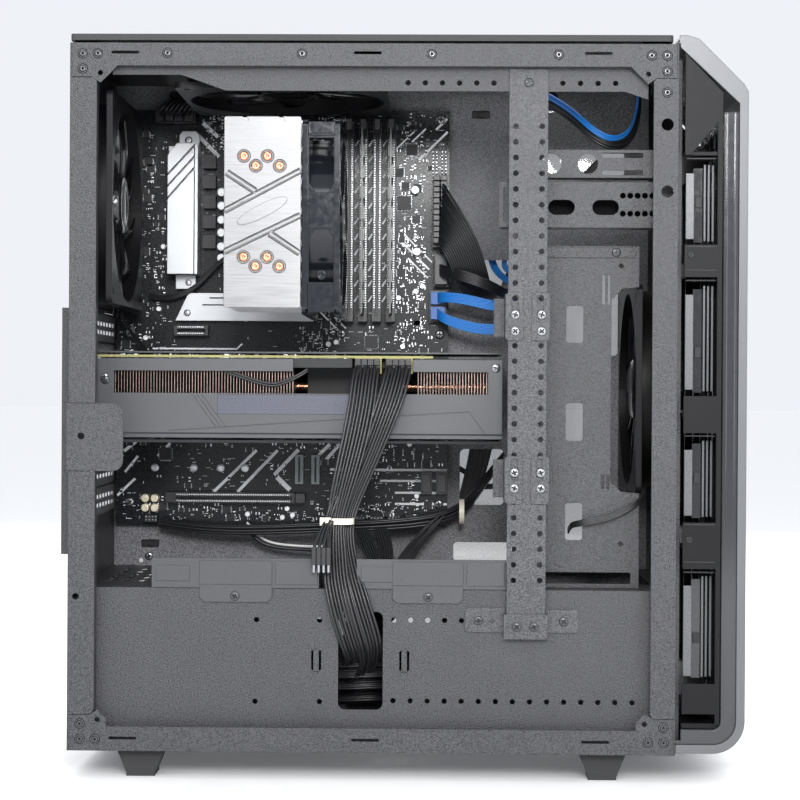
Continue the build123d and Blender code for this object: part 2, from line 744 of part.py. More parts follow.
rear_fan_plane = facing(end_plane(fan_gap), rear_fan_centre)
top_fan_plane = Plane(
    origin=case_point(top_fan_centre[0], top_fan_centre[1], frame_height - fan_gap),
    x_dir=(1, 0, 0),
    z_dir=(0, 0, -1),
)
front_fan_plane = Plane(
    origin=case_point(front_plate_x - 0.2, front_fan_centre[0], front_fan_centre[1]),
    x_dir=(0, 1, 0),
    z_dir=(-1, 0, 0),
)
case_fan_planes = (rear_fan_plane, top_fan_plane, front_fan_plane)

with BuildPart() as case_fan_frames:
    for plane in case_fan_planes:
        fan_frame(plane, fan_size, fan_size, fan_depth, fan_bore, fan_hole_spacing)
save(case_fan_frames, "case_fan_frames")

for name, plane in zip(("rear", "top", "front"), case_fan_planes):
    with BuildPart() as case_rotor:
        fan_rotor(plane, fan_bore - 1.0, hub_radius, mount_depth + 0.6, 22.5, 7)
    save(case_rotor, f"{name}_fan_rotor")

cpu_fan_plane = Plane(
    origin=case_point(cpu_fan_x[1], sum(cpu_fan_y) / 2, sum(cpu_fan_z) / 2),
    x_dir=(0, 1, 0),
    z_dir=(-1, 0, 0),
)
cpu_fan_width = cpu_fan_y[1] - cpu_fan_y[0]
cpu_fan_height = cpu_fan_z[1] - cpu_fan_z[0]
cpu_fan_bore = 57.0
with BuildPart() as cpu_fan_frame:
    fan_frame(cpu_fan_plane, cpu_fan_width, cpu_fan_height, fan_depth, cpu_fan_bore, 105.0)
save(cpu_fan_frame, "cpu_fan_frame")

with BuildPart() as cpu_fan_rotor:
    fan_rotor(cpu_fan_plane, cpu_fan_bore - 1.0, hub_radius, mount_depth + 0.6, 22.5, 9)
save(cpu_fan_rotor, "cpu_fan_rotor")

# Power supply ---------------------------------------------------------------------------------
supply_fan_radius = 60.0
switch_size = (12.0, 18.0)
switch_centre = (150.0, 62.0)
inlet_size = (27.0, 20.0)
inlet_centre = (150.0, 34.0)
supply_fan_plane = Plane(
    origin=case_point(supply_fan_centre[0], supply_fan_centre[1], supply_z[0] + 29),
    x_dir=(1, 0, 0),
    z_dir=(0, 0, -1),
)
with BuildPart() as psu_case:
    block(supply_x, supply_y, supply_z)
    fan_face = facing(level_plane(supply_z[0]), supply_fan_centre)
    rod(fan_face.offset(sheet), (0, 0), supply_fan_radius + 1.5, 30.0, Mode.SUBTRACT)
    with BuildSketch(level_plane(supply_z[0])) as grille:
        with Locations(*honeycomb(supply_fan_centre, 56.0, 11.0)):
            RegularPolygon(5.4, 6)
    extrude(grille.sketch, amount=sheet, mode=Mode.SUBTRACT)
    rod(supply_fan_plane.offset(-2), (0, 0), hub_radius, 5.0)
    rod(supply_fan_plane, (0, 0), axle_radius, 20.0)
    back = end_plane(supply_x[0])
    with BuildSketch(back) as vents:
        with Locations((86, 45)):
            with GridLocations(9, 9, 9, 7):
                RegularPolygon(4.0, 6)
    extrude(vents.sketch, amount=1.5, mode=Mode.SUBTRACT)
    with BuildSketch(back) as inlet:
        with Locations(inlet_centre):
            Rectangle(*inlet_size)
    extrude(inlet.sketch, amount=16, mode=Mode.SUBTRACT)
    with BuildSketch(back.offset(16)) as pins:
        with Locations((inlet_centre[0], inlet_centre[1] + 3)):
            Rectangle(4, 1.6)
        for side in (-7, 7):
            with Locations((inlet_centre[0] + side, inlet_centre[1] - 2)):
                Rectangle(4, 1.6)
    extrude(pins.sketch, amount=-13)
    with BuildSketch(back) as recess:
        with Locations(switch_centre):
            Rectangle(switch_size[0] + 1.0, switch_size[1] + 1.0)
    extrude(recess.sketch, amount=10, mode=Mode.SUBTRACT)
save(psu_case, "psu_case")

with BuildPart() as psu_fan_rotor:
    fan_rotor(supply_fan_plane, supply_fan_radius, hub_radius, 3.6, 22.5, 9)
save(psu_fan_rotor, "psu_fan_rotor")

with BuildPart() as psu_switch:
    with BuildSketch(side_plane(switch_centre[0] - switch_size[0] / 2)):
        outline(
            [
                (supply_x[0] + 0.4, switch_centre[1]),
                (supply_x[0] - 0.8, switch_centre[1] + 8.6),
                (supply_x[0] + 6.0, switch_centre[1] + 7.0),
                (supply_x[0] + 7.5, switch_centre[1]),
                (supply_x[0] + 6.0, switch_centre[1] - 7.0),
                (supply_x[0] - 0.8, switch_centre[1] - 8.6),
            ]
        )
    extrude(amount=-switch_size[0])
save(psu_switch, "psu_switch")

# Front bezel ----------------------------------------------------------------------------------
chamfer_start = (408.0, 464.0)
chamfer_end = (437.2, 434.8)
corner_radius = 21.0
bezel_bottom_z = 1.5
bezel_back_x = front_plate_x + sheet + 0.8
cheek = 2.2
rib_spans = ((310.0, 331.0), (209.0, 233.0), (121.0, 151.0), (27.0, 46.5))
button_centre = (422.6, 449.4)
button_radius = 7.0
chamfer_plane = Plane(
    origin=case_point(button_centre[0], frame_width / 2, button_centre[1]),
    x_dir=(0, 1, 0),
    z_dir=(1, 0, 1),
)


def front_outline(inset, mode=Mode.ADD):
    """In a side sketch, the front's profile: chamfered above and rounded below."""
    right = front_x - inset
    low = bezel_bottom_z + inset
    radius = corner_radius - inset
    slope = inset * 0.414
    with BuildLine() as edge:
        Polyline(
            (right - radius, low),
            (395.4, low),
            (395.4, cover_top - inset),
            (400.0, cover_top - inset),
            (chamfer_start[0] - slope, chamfer_start[1] - inset),
            (chamfer_end[0] - inset, chamfer_end[1] - slope),
            (right, 430.0),
            (right, low + radius),
        )
        RadiusArc((right, low + radius), (right - radius, low), radius)
    make_face(edge.wires(), mode=mode)


with BuildPart() as front_trim:
    with BuildSketch(side_plane(0.3)) as shell:
        front_outline(0.0)
        front_outline(2.5, Mode.SUBTRACT)
        rectangle((390, 397), (4.1, 460), mode=Mode.SUBTRACT)
    extrude(shell.sketch, amount=-(frame_width - 0.6))
    for depth in (0.3, frame_width - 0.3 - cheek):
        with BuildSketch(side_plane(depth)) as side:
            front_outline(0.0)
            front_outline(5.6, Mode.SUBTRACT)
            outline([(393, 461.4), (408, 463), (438.5, 432), (438.5, 418.5)])
            rectangle((390, 396), (7, 461), mode=Mode.SUBTRACT)
        extrude(side.sketch, amount=-cheek)
    block((432, front_x + 1), (8.0, frame_width - 8.0), (30.0, 416.0), Mode.SUBTRACT)
    rod(chamfer_plane.offset(3), (0, 0), button_radius + 0.4, -12, Mode.SUBTRACT)
    with BuildSketch(chamfer_plane.offset(3)) as sockets:
        for side in (-42, -24, 24, 42):
            with Locations((side, 0)):
                if side < 0:
                    Rectangle(14.6, 7.2)
                else:
                    Circle(4.3)
    extrude(sockets.sketch, amount=-10, mode=Mode.SUBTRACT)
save(front_trim, "front_trim")

# The glossy moulding: the face, its two returns and the strip that shows at each side.
with BuildPart() as front_panel:
    block((434.0, 439.2), (8.4, frame_width - 8.4), (30.4, 415.6))
    block((424.0, 434.0), (8.4, 11.0), (30.4, 415.6))
    block((424.0, 434.0), (frame_width - 11.0, frame_width - 8.4), (30.4, 415.6))
    for depth in (0.6, frame_width - 0.6 - 4.0):
        with BuildSketch(side_plane(depth)) as band:
            front_outline(5.9)
            front_outline(5.9 + 9.6, Mode.SUBTRACT)
            rectangle((390, 398.8), (10, 470), mode=Mode.SUBTRACT)
            rectangle((390, 450), (416.7, 470), mode=Mode.SUBTRACT)
        extrude(band.sketch, amount=-4.0)
save(front_panel, "front_panel")

with BuildPart() as bezel_frame:
    for depth in (0.9, frame_width - 0.9 - 3.0):
        with BuildSketch(side_plane(depth)) as skeleton:
            rectangle((420.6, 423.7), (20, 416))
            for low, high in rib_spans:
                rectangle((bezel_back_x, 423), (low, high))
            outline(
                [
                    (bezel_back_x, 454.6),
                    (423.7, 429.5),
                    (423.7, 414),
                    (421, 411),
                    (403, 389),
                    (bezel_back_x, 389),
                ]
            )
        extrude(skeleton.sketch, amount=-3.0)
    for low, high in rib_spans:
        middle = (low + high) / 2
        block((bezel_back_x, 421), (3.8, frame_width - 3.8), (middle - 1.2, middle + 1.2))
        block((bezel_back_x, 421), (0.9, 8), (middle - 2.5, middle + 2.5))
    for y in (60.0, frame_width - 64.0):
        block((417, 421), (y, y + 4), (28, 400))
    block((bezel_back_x, 421), (3.8, frame_width - 3.8), (389, 391.4))
    block((bezel_back_x, 423.7), (3.8, frame_width - 3.8), (17.3, 20.5))
save(bezel_frame, "bezel_frame")

with BuildPart() as power_button:
    rod(chamfer_plane.offset(-0.2), (0, 0), button_radius, -5)
    rod(chamfer_plane.offset(-4.8), (0, 0), button_radius + 1.8, -1.4)
save(power_button, "power_button")

with BuildPart() as front_ports:
    for side in (-42, -24, 24, 42):
        with BuildSketch(chamfer_plane.offset(-0.6)) as shell:
            with Locations((side, 0)):
                if side < 0:
                    Rectangle(14.0, 6.6)
                    Rectangle(13.0, 5.6, mode=Mode.SUBTRACT)
                else:
                    Circle(4.0)
                    Circle(1.8, mode=Mode.SUBTRACT)
        extrude(shell.sketch, amount=-11)
        if side < 0:
            with BuildSketch(chamfer_plane.offset(-10.6)) as tongue:
                with Locations((side, 0)):
                    Rectangle(14.0, 6.6)
            extrude(tongue.sketch, amount=-1.5)
            with BuildSketch(chamfer_plane.offset(-2.0)) as blade:
                with Locations((side, 1.2)):
                    Rectangle(11.0, 1.8)
            extrude(blade.sketch, amount=-9)
save(front_ports, "front_ports")

# Motherboard ----------------------------------------------------------------------------------
board_back_y = board_face_y + board_thickness
with BuildPart() as motherboard:
    with BuildSketch(side_plane(board_back_y)):
        rectangle((board_rear_x, board_front_x), (board_bottom_z, board_top_z), 1.5)
        round_holes([(x, z) for x in hole_columns for z in hole_rows], 1.9)
    extrude(amount=board_thickness)
save(motherboard, "motherboard")


def on_board(x, z, height, base=0.0, mode=Mode.ADD):
    """A block that stands on the board's face."""
    block(x, (board_face_y - height, board_face_y - base), z, mode)


port_stacks = ((295, 311, 27), (316, 333, 26), (339, 354, 27), (360, 375, 27), (382, 399, 12), (410, 424, 26))
with BuildPart() as rear_io:
    with BuildSketch(end_plane(0.2)):
        rectangle((io_y[0] + 0.3, io_y[1] - 2.6), (io_z[0] + 0.3, io_z[1] - 0.3))
        for low, high, height in port_stacks:
            rectangle((board_face_y - height, board_face_y - 1), (low, high), mode=Mode.SUBTRACT)
    extrude(amount=0.7)
    for low, high, height in port_stacks:
        near_y = board_face_y - height + 0.3
        block((-0.8, 21), (near_y, board_face_y), (low + 0.3, high - 0.3))
        levels = 2 if height > 20 else 1
        step = (height - 2.0) / levels
        for level in range(levels):
            start = near_y + 1.5 + level * step
            mouth = (start, start + step - 3.0)
            block((-1, 10), mouth, (low + 2, high - 2), Mode.SUBTRACT)
            middle = (mouth[0] + mouth[1]) / 2
            block((2, 10.5), (middle - 0.9, middle + 0.9), (low + 4, high - 4))
save(rear_io, "rear_io")

vrm_x = (43.7, 65.3)
with BuildPart() as board_heatsinks:
    with BuildSketch(level_plane(320)) as vrm:
        Polygon(
            (vrm_x[0], board_face_y - 22),
            (vrm_x[0] + 3, board_face_y - 25),
            (vrm_x[1], board_face_y - 25),
            (vrm_x[1], board_face_y - 2),
            (vrm_x[0], board_face_y - 2),
            align=None,
        )
    extrude(vrm.sketch, amount=86)
    with BuildSketch(side_plane(board_face_y - 2)) as taper:
        outline([(vrm_x[0], 406), (vrm_x[0] + 8, 415), (vrm_x[1], 415), (vrm_x[1], 406)])
    extrude(taper.sketch, amount=23)
    on_board((50.0, 64.8), (400, 426.5), 5, 2)
    on_board((50.0, 64.8), (308, 330), 5, 2)
    on_board((46, 64), (322, 400), 3)
    for x, z in ((56, 421.5), (57, 313)):
        rod(side_plane(board_face_y - 1), (x, z), 2.4, -1.0)
    with BuildSketch(side_plane(board_face_y - 4)) as cover_plate:
        outline([(47.4, 285.7), (57.0, 306.0), (148.8, 306.0), (148.8, 285.7)])
        round_holes([(56.5, 292.5)], 1.6)
    extrude(cover_plate.sketch, amount=3.2)
    on_board((60, 146), (288, 304), 4.4)
save(board_heatsinks, "board_heatsinks")

with BuildPart() as processor:
    on_board((102.5, 145), (331, 374), 5.6)
    on_board((105.0, 142.6), (334, 371.6), 8.7)
save(processor, "processor")

with BuildPart() as dimm_slots:
    for x in dimm_columns:
        half = dimm_width / 2
        on_board((x - half, x + half), (dimm_bottom_z, dimm_top_z), dimm_height)
        on_board((x - half, x + half), (dimm_bottom_z - 7.5, dimm_bottom_z), 15)
        for side in (-1, 1):
            wall = sorted((x + side * half, x + side * (half - 1.0)))
            on_board(wall, (dimm_top_z, dimm_top_z + 9.5), 12)
        on_board((x - half, x + half), (dimm_top_z, dimm_top_z + 9.5), 0.9)
        on_board((x - 0.95, x + 0.95), (dimm_bottom_z - 3.2, dimm_top_z + 3.5), 20, 4.2, Mode.SUBTRACT)
save(dimm_slots, "dimm_slots")

module_height = 31.25
module_z = (dimm_bottom_z - 2.4, dimm_bottom_z - 2.4 + 133.35)
module_foot_y = board_face_y - 4.6
with BuildPart() as memory_modules:
    for x in (dimm_columns[1], dimm_columns[3]):
        block((x - 0.6, x + 0.6), (module_foot_y - module_height, module_foot_y), module_z)
        for index in range(8):
            start = module_z[0] + 8 + index * 15
            block((x - 1.7, x - 0.6), (module_foot_y - 25, module_foot_y - 14), (start, start + 9))
            block((x + 0.6, x + 1.7), (module_foot_y - 25, module_foot_y - 14), (start, start + 9))
save(memory_modules, "memory_modules")

latch_foot_z = dimm_top_z + 3.4
for index, x in enumerate(dimm_columns):
    with BuildPart() as dimm_latch:
        with BuildSketch(end_plane(x - 1.9)):
            outline(
                [
                    (board_face_y - 2.6, latch_foot_z + 1.4),
                    (board_face_y - 13.0, latch_foot_z),
                    (board_face_y - 16.4, latch_foot_z),
                    (board_face_y - 17.0, latch_foot_z + 7.4),
                    (board_face_y - 15.2, latch_foot_z + 7.4),
                    (board_face_y - 12.4, latch_foot_z + 4.6),
                    (board_face_y - 2.6, latch_foot_z + 4.6),
                ]
            )
        extrude(amount=3.8)
    save(dimm_latch, f"dimm_latch_{index + 1}")

slot_start_x = 47.0
card_slot_z = slot_rows[1]
lower_slot_z = slot_rows[6]
long_slot_end_x = 136.0
with BuildPart() as pcie_slots:
    for level, end in ((slot_rows[0], 72.0), (card_slot_z, long_slot_end_x), (lower_slot_z, long_slot_end_x)):
        on_board((slot_start_x, end), (level - 3.7, level + 3.7), 11)
        on_board((slot_start_x + 2, end - 2), (level - 1.1, level + 1.1), 12, 3, Mode.SUBTRACT)
    on_board((slot_start_x - 6, slot_start_x), (lower_slot_z - 3.7, lower_slot_z + 3.7), 9)
save(pcie_slots, "pcie_slots")

with BuildPart() as pcie_latch:
    on_board((136.7, 141.6), (lower_slot_z - 3.3, lower_slot_z + 3.3), 13.0, 1.4)
    on_board((141.6, 143.4), (lower_slot_z - 3.3, lower_slot_z + 3.3), 13.0, 8.0)
save(pcie_latch, "pcie_latch")

with BuildPart() as board_connectors:
    on_board((235.4, 246.6), (340, 392), 12.5)
    on_board((236.5, 246.9), (311, 335.5), 9)
    on_board((233.5, 245.5), (286, 308.5), 11)
    on_board((33, 62), (429.5, 438.6), 12.5)
    for x in (228.0, 239.0):
        on_board((x, x + 8), (160.0, 176), 8)
    for x in (165.0, 178.0, 191.0, 204.0, 217.0, 26.0):
        on_board((x, x + 9), (138.2, 143.4), 8.5)
save(board_connectors, "board_connectors")

choke_rows = [401.9 - 14.6 * index for index in range(5)]
cap_rows = [379.7, 369.8, 359.6, 350.2, 340.0, 331.6]
post_columns = (32.2, 60.7, 80.5, 98.5)
with BuildPart() as board_components:
    for z in choke_rows:
        on_board((67, 77), (z - 5, z + 5), 8)
    for z in cap_rows:
        rod(side_plane(board_face_y), (81.0, z), 3.2, 9)
    for x in post_columns:
        rod(side_plane(board_face_y), (x, 177.8), 2.9, 2.5)
    for x, z in ((26.0, 148.6), (33.0, 148.6), (26.0, 155.6), (33.0, 155.6), (224, 337), (222.5, 382)):
        rod(side_plane(board_face_y), (x, z), 3.0, 8)
    for x, z, size in ((214.4, 373.0, 10.0), (191.0, 271.0, 9.0), (220.0, 412.0, 8.0), (40.0, 188.0, 9.0)):
        on_board((x - size / 2, x + size / 2), (z - size / 2, z + size / 2), 1.6)
    for x in (138.7, 150.6):
        on_board((x - 3, x + 3), (166.5, 188.0), 5)
save(board_components, "board_components")

# Processor cooler -----------------------------------------------------------------------------
fin_y = (23.0, 128.0)
base_y = (160.5, 172.6)
pipe_bottom_y = 166.0
pipe_bend = 12.0
with BuildPart() as cooler_heatsink:
    block((cooler_x[0] + 0.4, cooler_x[1] - 0.4), fin_y, (cooler_z[0] + 0.5, cooler_z[1] - 0.5))
    block((103.5, 144.0), base_y, (336.2, 369.5))
    for x, top, foot in zip(pipe_columns, pipe_heights, pipe_feet):
        for z in (top, foot):
            rod(side_plane(fin_y[1] + 1), (x, z), pipe_radius + 0.1, fin_y[1] - fin_y[0] + 2, Mode.SUBTRACT)
        rod(level_plane(330), (x, pipe_bottom_y), pipe_radius + 0.1, 50, Mode.SUBTRACT)
save(cooler_heatsink, "cooler_heatsink")

pipe_top_y = cooler_top_y - 0.7
with BuildPart() as heat_pipes:
    for x, top, foot in zip(pipe_columns, pipe_heights, pipe_feet):
        with BuildLine() as route:
            FilletPolyline(
                case_point(x, pipe_top_y, top),
                case_point(x, pipe_bottom_y, top),
                case_point(x, pipe_bottom_y, foot),
                case_point(x, pipe_top_y, foot),
                radius=pipe_bend,
            )
        with BuildSketch(side_plane(pipe_top_y)) as section:
            with Locations((x, top)):
                Circle(pipe_radius)
        sweep(section.sketch, path=route.wires()[0])
save(heat_pipes, "heat_pipes")

with BuildPart() as cooler_top_plate:
    with BuildSketch(side_plane(cooler_top_y)):
        rectangle(cooler_x, cooler_z, 1.2)
        round_holes(list(zip(pipe_columns, pipe_heights)) + list(zip(pipe_columns, pipe_feet)), 3.15)
        for x in (112.0, 136.0):
            notch = [(x - 1.6, cooler_z[1]), (x + 1.0, cooler_z[1]), (x + 2.6, cooler_z[1] - 3.2)]
            outline(notch, Mode.SUBTRACT)
    extrude(amount=-1.4)
save(cooler_top_plate, "cooler_top_plate")

# Graphics card --------------------------------------------------------------------------------
card_thickness = 1.6
fan_opening = card_fan_radius + 1.5
window_z = (233.0, 248.0)
with BuildPart() as gpu_board:
    with BuildSketch(level_plane(card_board_z)):
        rectangle((3.6, 236.7), (66, 168))
        rectangle((slot_start_x + 5, long_slot_end_x - 3), (160, 177.4))
    extrude(amount=card_thickness)
    for x in (184.0, 205.0):
        block((x, x + 18), (59, 74), (card_board_z - 10.5, card_board_z))
save(gpu_board, "gpu_board")

cover_sheet = 1.8
near = card_y[0]
with BuildPart() as gpu_covers:
    block(card_x, card_y, (card_z[0], card_z[1]))
    inner_x = (card_x[0] + cover_sheet, card_x[1] - cover_sheet)
    inner_y = (near + cover_sheet, card_y[1] + 1)
    block(inner_x, inner_y, (card_z[0] + cover_sheet, card_z[1] + 1), Mode.SUBTRACT)
    block((21.9, 273.8), (near - 1, near + 3), window_z, Mode.SUBTRACT)
    block((142.7, 223.3), (near - 1, near + 3), (window_z[1] - 1, card_z[1] + 1), Mode.SUBTRACT)
    with BuildSketch(end_plane(card_x[0] - 1)) as bevel:
        outline(
            [
                (near - 1, card_z[0] - 1),
                (near - 1, 206.5),
                (near, 206.5),
                (near + 7, card_z[0]),
                (near + 7, card_z[0] - 1),
            ]
        )
    extrude(bevel.sketch, amount=card_x[1] - card_x[0] + 2, mode=Mode.SUBTRACT)
    block(card_x, (near + 1.2, near + 3.2), (203, 208))
    for x in card_fan_columns:
        fan_plane = facing(level_plane(card_z[0]), (x, card_fan_y))
        rod(fan_plane.offset(-2), (0, 0), fan_opening, cover_sheet + 3, Mode.SUBTRACT)
    for x in card_fan_columns:
        fan_plane = facing(level_plane(card_z[0]), (x, card_fan_y))
        rod(fan_plane.offset(12.6), (0, 0), 14.0, 1.4)
        rod(fan_plane.offset(4.0), (0, 0), 2.0, 9.0)
        block((x - 3, x + 3), (near + cover_sheet, card_y[1]), (card_z[0] + 12.6, card_z[0] + 14.0))
    block(inner_x, (card_y[1] - cover_sheet, card_y[1]), (card_z[0] + 12.6, card_z[0] + 14.0))
    with BuildSketch(side_plane(near)) as marks:
        rectangle((91.8, 183.8), (219.0, 232.2))
        for start, end in (
            ((58.7, 207.5), (218.8, 218.6)),
            ((218.8, 218.6), (261.1, 221.2)),
            ((261.1, 221.2), (271.6, 207.0)),
            ((74.9, 232.0), (90.5, 210.6)),
            ((78.1, 232.0), (93.7, 210.9)),
            ((81.3, 232.0), (96.9, 211.1)),
        ):
            length = hypot(end[0] - start[0], end[1] - start[1])
            turn = degrees(atan2(end[1] - start[1], end[0] - start[0]))
            with Locations(((start[0] + end[0]) / 2, (start[1] + end[1]) / 2)):
                Rectangle(length, 0.7, rotation=turn)
    extrude(marks.sketch, amount=-0.5, mode=Mode.SUBTRACT)
    top_z = card_board_z + card_thickness
    block((9, 283), (66.5, 167), (top_z + 1.3, top_z + 2.5))
    for x in (20.0, 120.0, 225.0):
        for y in (75.0, 158.0):
            rod(level_plane(top_z), (x, y), 2.5, 1.5)
save(gpu_covers, "gpu_covers")

with BuildPart() as gpu_heatsink:
    block((22.0, 274.0), (54, 166), (250.5, 256.9))
    for span in ((22.0, 143.0), (222.5, 274.0)):
        block(span, (54, 166), (214.5, 251))
    block((150, 216), (90, 166), (214.5, 251))
    block((182.5, 224.5), (53, 76), (245, 258), Mode.SUBTRACT)
save(gpu_heatsink, "gpu_heatsink")

with BuildPart() as gpu_bracket:
    slot_bracket(slot_rows[2] - 9.2, slot_rows[1] + 9.2)
    with BuildSketch(end_plane(bracket_x[0])) as ports:
        for y in (92.0, 115.0, 138.0):
            with Locations((y, slot_rows[1] - 3)):
                Rectangle(17, 5.5)
        with Locations((163.0, slot_rows[1] - 3)):
            Rectangle(15, 5.5)
        with Locations((128, slot_rows[2] - 1)):
            with GridLocations(9, 6, 11, 2):
                SlotOverall(7, 3)
    extrude(ports.sketch, amount=sheet, mode=Mode.SUBTRACT)
save(gpu_bracket, "gpu_bracket")

for index, x in enumerate(card_fan_columns):
    card_fan_plane = Plane(
        origin=case_point(x, card_fan_y, card_z[0] + 12.6),
        x_dir=(1, 0, 0),
        z_dir=(0, 0, -1),
    )
    with BuildPart() as card_rotor:
        rod(card_fan_plane.offset(0.4), (0, 0), 15.0, 11.4)
        rod(card_fan_plane.offset(0), (0, 0), 2.0 + axle_clearance, 9.4, Mode.SUBTRACT)
        chord = 12.0
        for blade in range(11):
            turn = 2 * pi * blade / 11
            outward = Vector(cos(turn), sin(turn), 0)
            across = Vector(0, 0, 1).cross(outward) * cos(radians(34)) + Vector(0, 0, sin(radians(34)))
            middle = card_fan_plane.offset(6.0).origin
            with BuildSketch(Plane(origin=middle, x_dir=outward, z_dir=outward.cross(across))) as vane:
                tip = card_fan_radius - 0.8
                outline([(13, -5), (tip, -8), (card_fan_radius, 0), (tip, 8), (13, 5)])
            extrude(vane.sketch, amount=0.6, both=True)
    save(card_rotor, f"gpu_fan_rotor_{index + 1}")

# Leads ----------------------------------------------------------------------------------------
def lead(points, radius):
    """A round lead along a route, with the largest arcs that its runs allow."""
    places = [Vector(*point) for point in points]
    radii = []
    for before, here, after in zip(places, places[1:], places[2:]):
        turn = radians((here - before).get_angle(after - here))
        run = min((here - before).length, (after - here).length)
        radii.append(0.45 * run / max(0.02, abs(sin(turn / 2) / cos(turn / 2))))
    route_points = [case_point(place.X, place.Y, place.Z) for place in places]
    with BuildLine() as route:
        FilletPolyline(*route_points, radius=radii)
    wire = route.wires()[0]
    start = Plane(origin=wire @ 0, z_dir=wire % 0)
    with BuildSketch(start) as section:
        Circle(radius)
    sweep(section.sketch, path=wire)
    print(f"lead {wire.length:.0f} mm, section radius {radius}, tightest arc {min(radii):.1f}")


board_supply_route = [
    (241, 167.2, 364.5),
    (243, 156, 361),
    (252, 146, 350),
    (263, 146, 334),
    (271, 157, 322),
    (276, 176, 317),
    (277, 192, 315.5),
    (279, 201, 298),
    (279, 201, 262),
    (277, 201, 225),
    (272, 200, 188),
    (262, 200, 152),
    (246, 199, 118),
    (226, 194, 88),
    (206, 180, 64),
    (186, 162, 52),
    (170, 152, 48),
    (151.8, 152, 48),
]
card_route_left = [
    (193, 58.6, 251.6),
    (193, 49, 251.6),
    (191, 38, 243),
    (188, 31, 224),
    (183, 28, 200),
    (177, 27, 174),
    (171.6, 25, 149),
    (169, 18, 130),
    (174, 7, 112),
    (180, 3.6, 92),
    (186, 7, 74),
    (188, 20, 60),
    (181, 38, 52),
    (168, 54, 49),
    (151.8, 54, 49),
]
card_route_right = [
    (214, 58.6, 251.6),
    (214, 49, 251.6),
    (211.5, 38, 241),
    (206, 31, 220),
    (197, 28, 196),
    (188, 27, 172),
    (179.2, 25, 149),
    (179, 18, 130),
    (184, 7, 112),
    (190, 3.6, 92),
    (197, 7, 74),
    (199, 22, 56),
    (190, 42, 42),
    (172, 66, 34),
    (151.8, 66, 34),
]
usb_route = [
    (248.0, 177, 323),
    (256, 177, 320),
    (266, 176, 312.5),
    (277, 180, 307.8),
    (285.5, 191, 309),
    (290, 203, 316),
    (302, 207.5, 342),
    (330, 207.5, 378),
    (362, 205, 408),
]
data_route_upper = [
    (239, 169.9, 303.5),
    (240.5, 163, 303),
    (248, 157, 302),
    (262, 152.5, 300),
    (277, 151, 297),
    (291, 152, 296),
    (300, 158, 303),
    (301, 168, 314),
    (295, 181, 323),
    (287.5, 192, 326),
    (288, 203, 336),
    (304, 206, 362),
    (326, 206, 388),
]
data_route_lower = [
    (239, 169.3, 292.2),
    (240, 164, 290),
    (247, 158, 285),
    (260, 154, 281),
    (275, 151, 279),
    (289, 151, 281),
    (300, 156, 289),
    (305, 166, 300),
    (300, 179, 311),
    (290, 191.5, 317.5),
    (281, 202, 325),
    (276, 206, 345),
    (280, 206, 372),
    (292, 206, 398),
]
front_route = [
    (38, 172.6, 138),
    (60, 168, 134.5),
    (88, 165, 133),
    (120, 163, 134),
    (152, 162, 135.5),
    (186, 162, 137),
    (220, 163, 139),
    (246, 166, 143),
    (262, 174, 153),
    (270, 190, 162),
    (280, 203, 176),
    (300, 206, 200),
    (322, 206, 226),
]
processor_route = [
    (47, 169, 434),
    (47, 160, 434),
    (52, 156, 441),
    (60, 160, 448),
    (62, 176, 450),
    (64, 196, 450),
    (72, 203, 436),
    (78, 203, 400),
    (84, 203, 350),
    (92, 203, 290),
    (104, 203, 230),
    (116, 203, 176),
    (130, 203, 130),
    (146, 201, 97),
    (160, 190, 76),
    (168, 174, 66),
    (164, 162, 64),
    (151.8, 162, 64),
]
rear_fan_route = [
    (12, 147.5, 289.5),
    (14, 151, 283),
    (18.5, 158, 275.5),
    (24, 166, 268),
    (29, 172, 261),
    (33, 174.5, 252),
]
cooler_fan_route = [
    (98, 168, 338),
    (86, 169, 333),
    (76, 171, 325),
    (68, 172, 315),
    (58.4, 172, 307.5),
    (48.2, 172, 302.6),
    (38, 173.5, 301.6),
    (28, 176, 303.5),
]
front_fan_route = [
    (377.5, 41, 169.5),
    (378, 33, 168),
    (374.5, 25, 163.5),
    (363, 23.6, 156.5),
    (351, 22.8, 151.5),
    (335, 22.2, 149),
    (329.5, 30, 147.5),
    (328.8, 40, 145.5),
    (328.5, 53, 142),
]
pale_route = [
    (101, 171.5, 138.5),
    (105.7, 171.5, 133.5),
    (110, 171, 128.1),
    (118.1, 172, 123.7),
    (132.8, 172, 121.7),
    (154.7, 170, 121.1),
    (171, 165, 122.5),
]
drop_route_rear = [
    (191, 162.5, 131.5),
    (194.5, 164, 124),
    (198, 165, 112),
    (199, 164, 98),
    (192, 158, 84),
    (179, 151, 74),
    (166, 147, 70),
    (151.8, 147, 70),
]
drop_route_front = [
    (238, 165, 136.0),
    (230, 165.5, 128),
    (220.4, 165, 117),
    (213, 164, 104),
    (206, 158, 90),
    (200, 146, 74),
    (186, 137, 62),
    (169, 134, 58),
    (151.8, 134, 58),
]
front_loop_route = [
    (376, 100, 458),
    (378, 96, 440),
    (377, 84, 420),
    (368, 72, 404.5),
    (355, 66, 403),
    (343, 67, 411),
    (333, 74, 422),
    (324, 96, 432),
    (316, 130, 442),
    (313, 165, 448.5),
    (313.5, 190, 449),
    (317, 203, 441),
    (322, 205, 418),
]
cross_route = [
    (244, 208.3, 181),
    (256.6, 208.5, 178.5),
    (263, 208.3, 173.5),
    (267, 208.5, 166),
    (277.4, 208.5, 163.1),
    (288.4, 208.3, 166.1),
    (300, 208.5, 172),
]
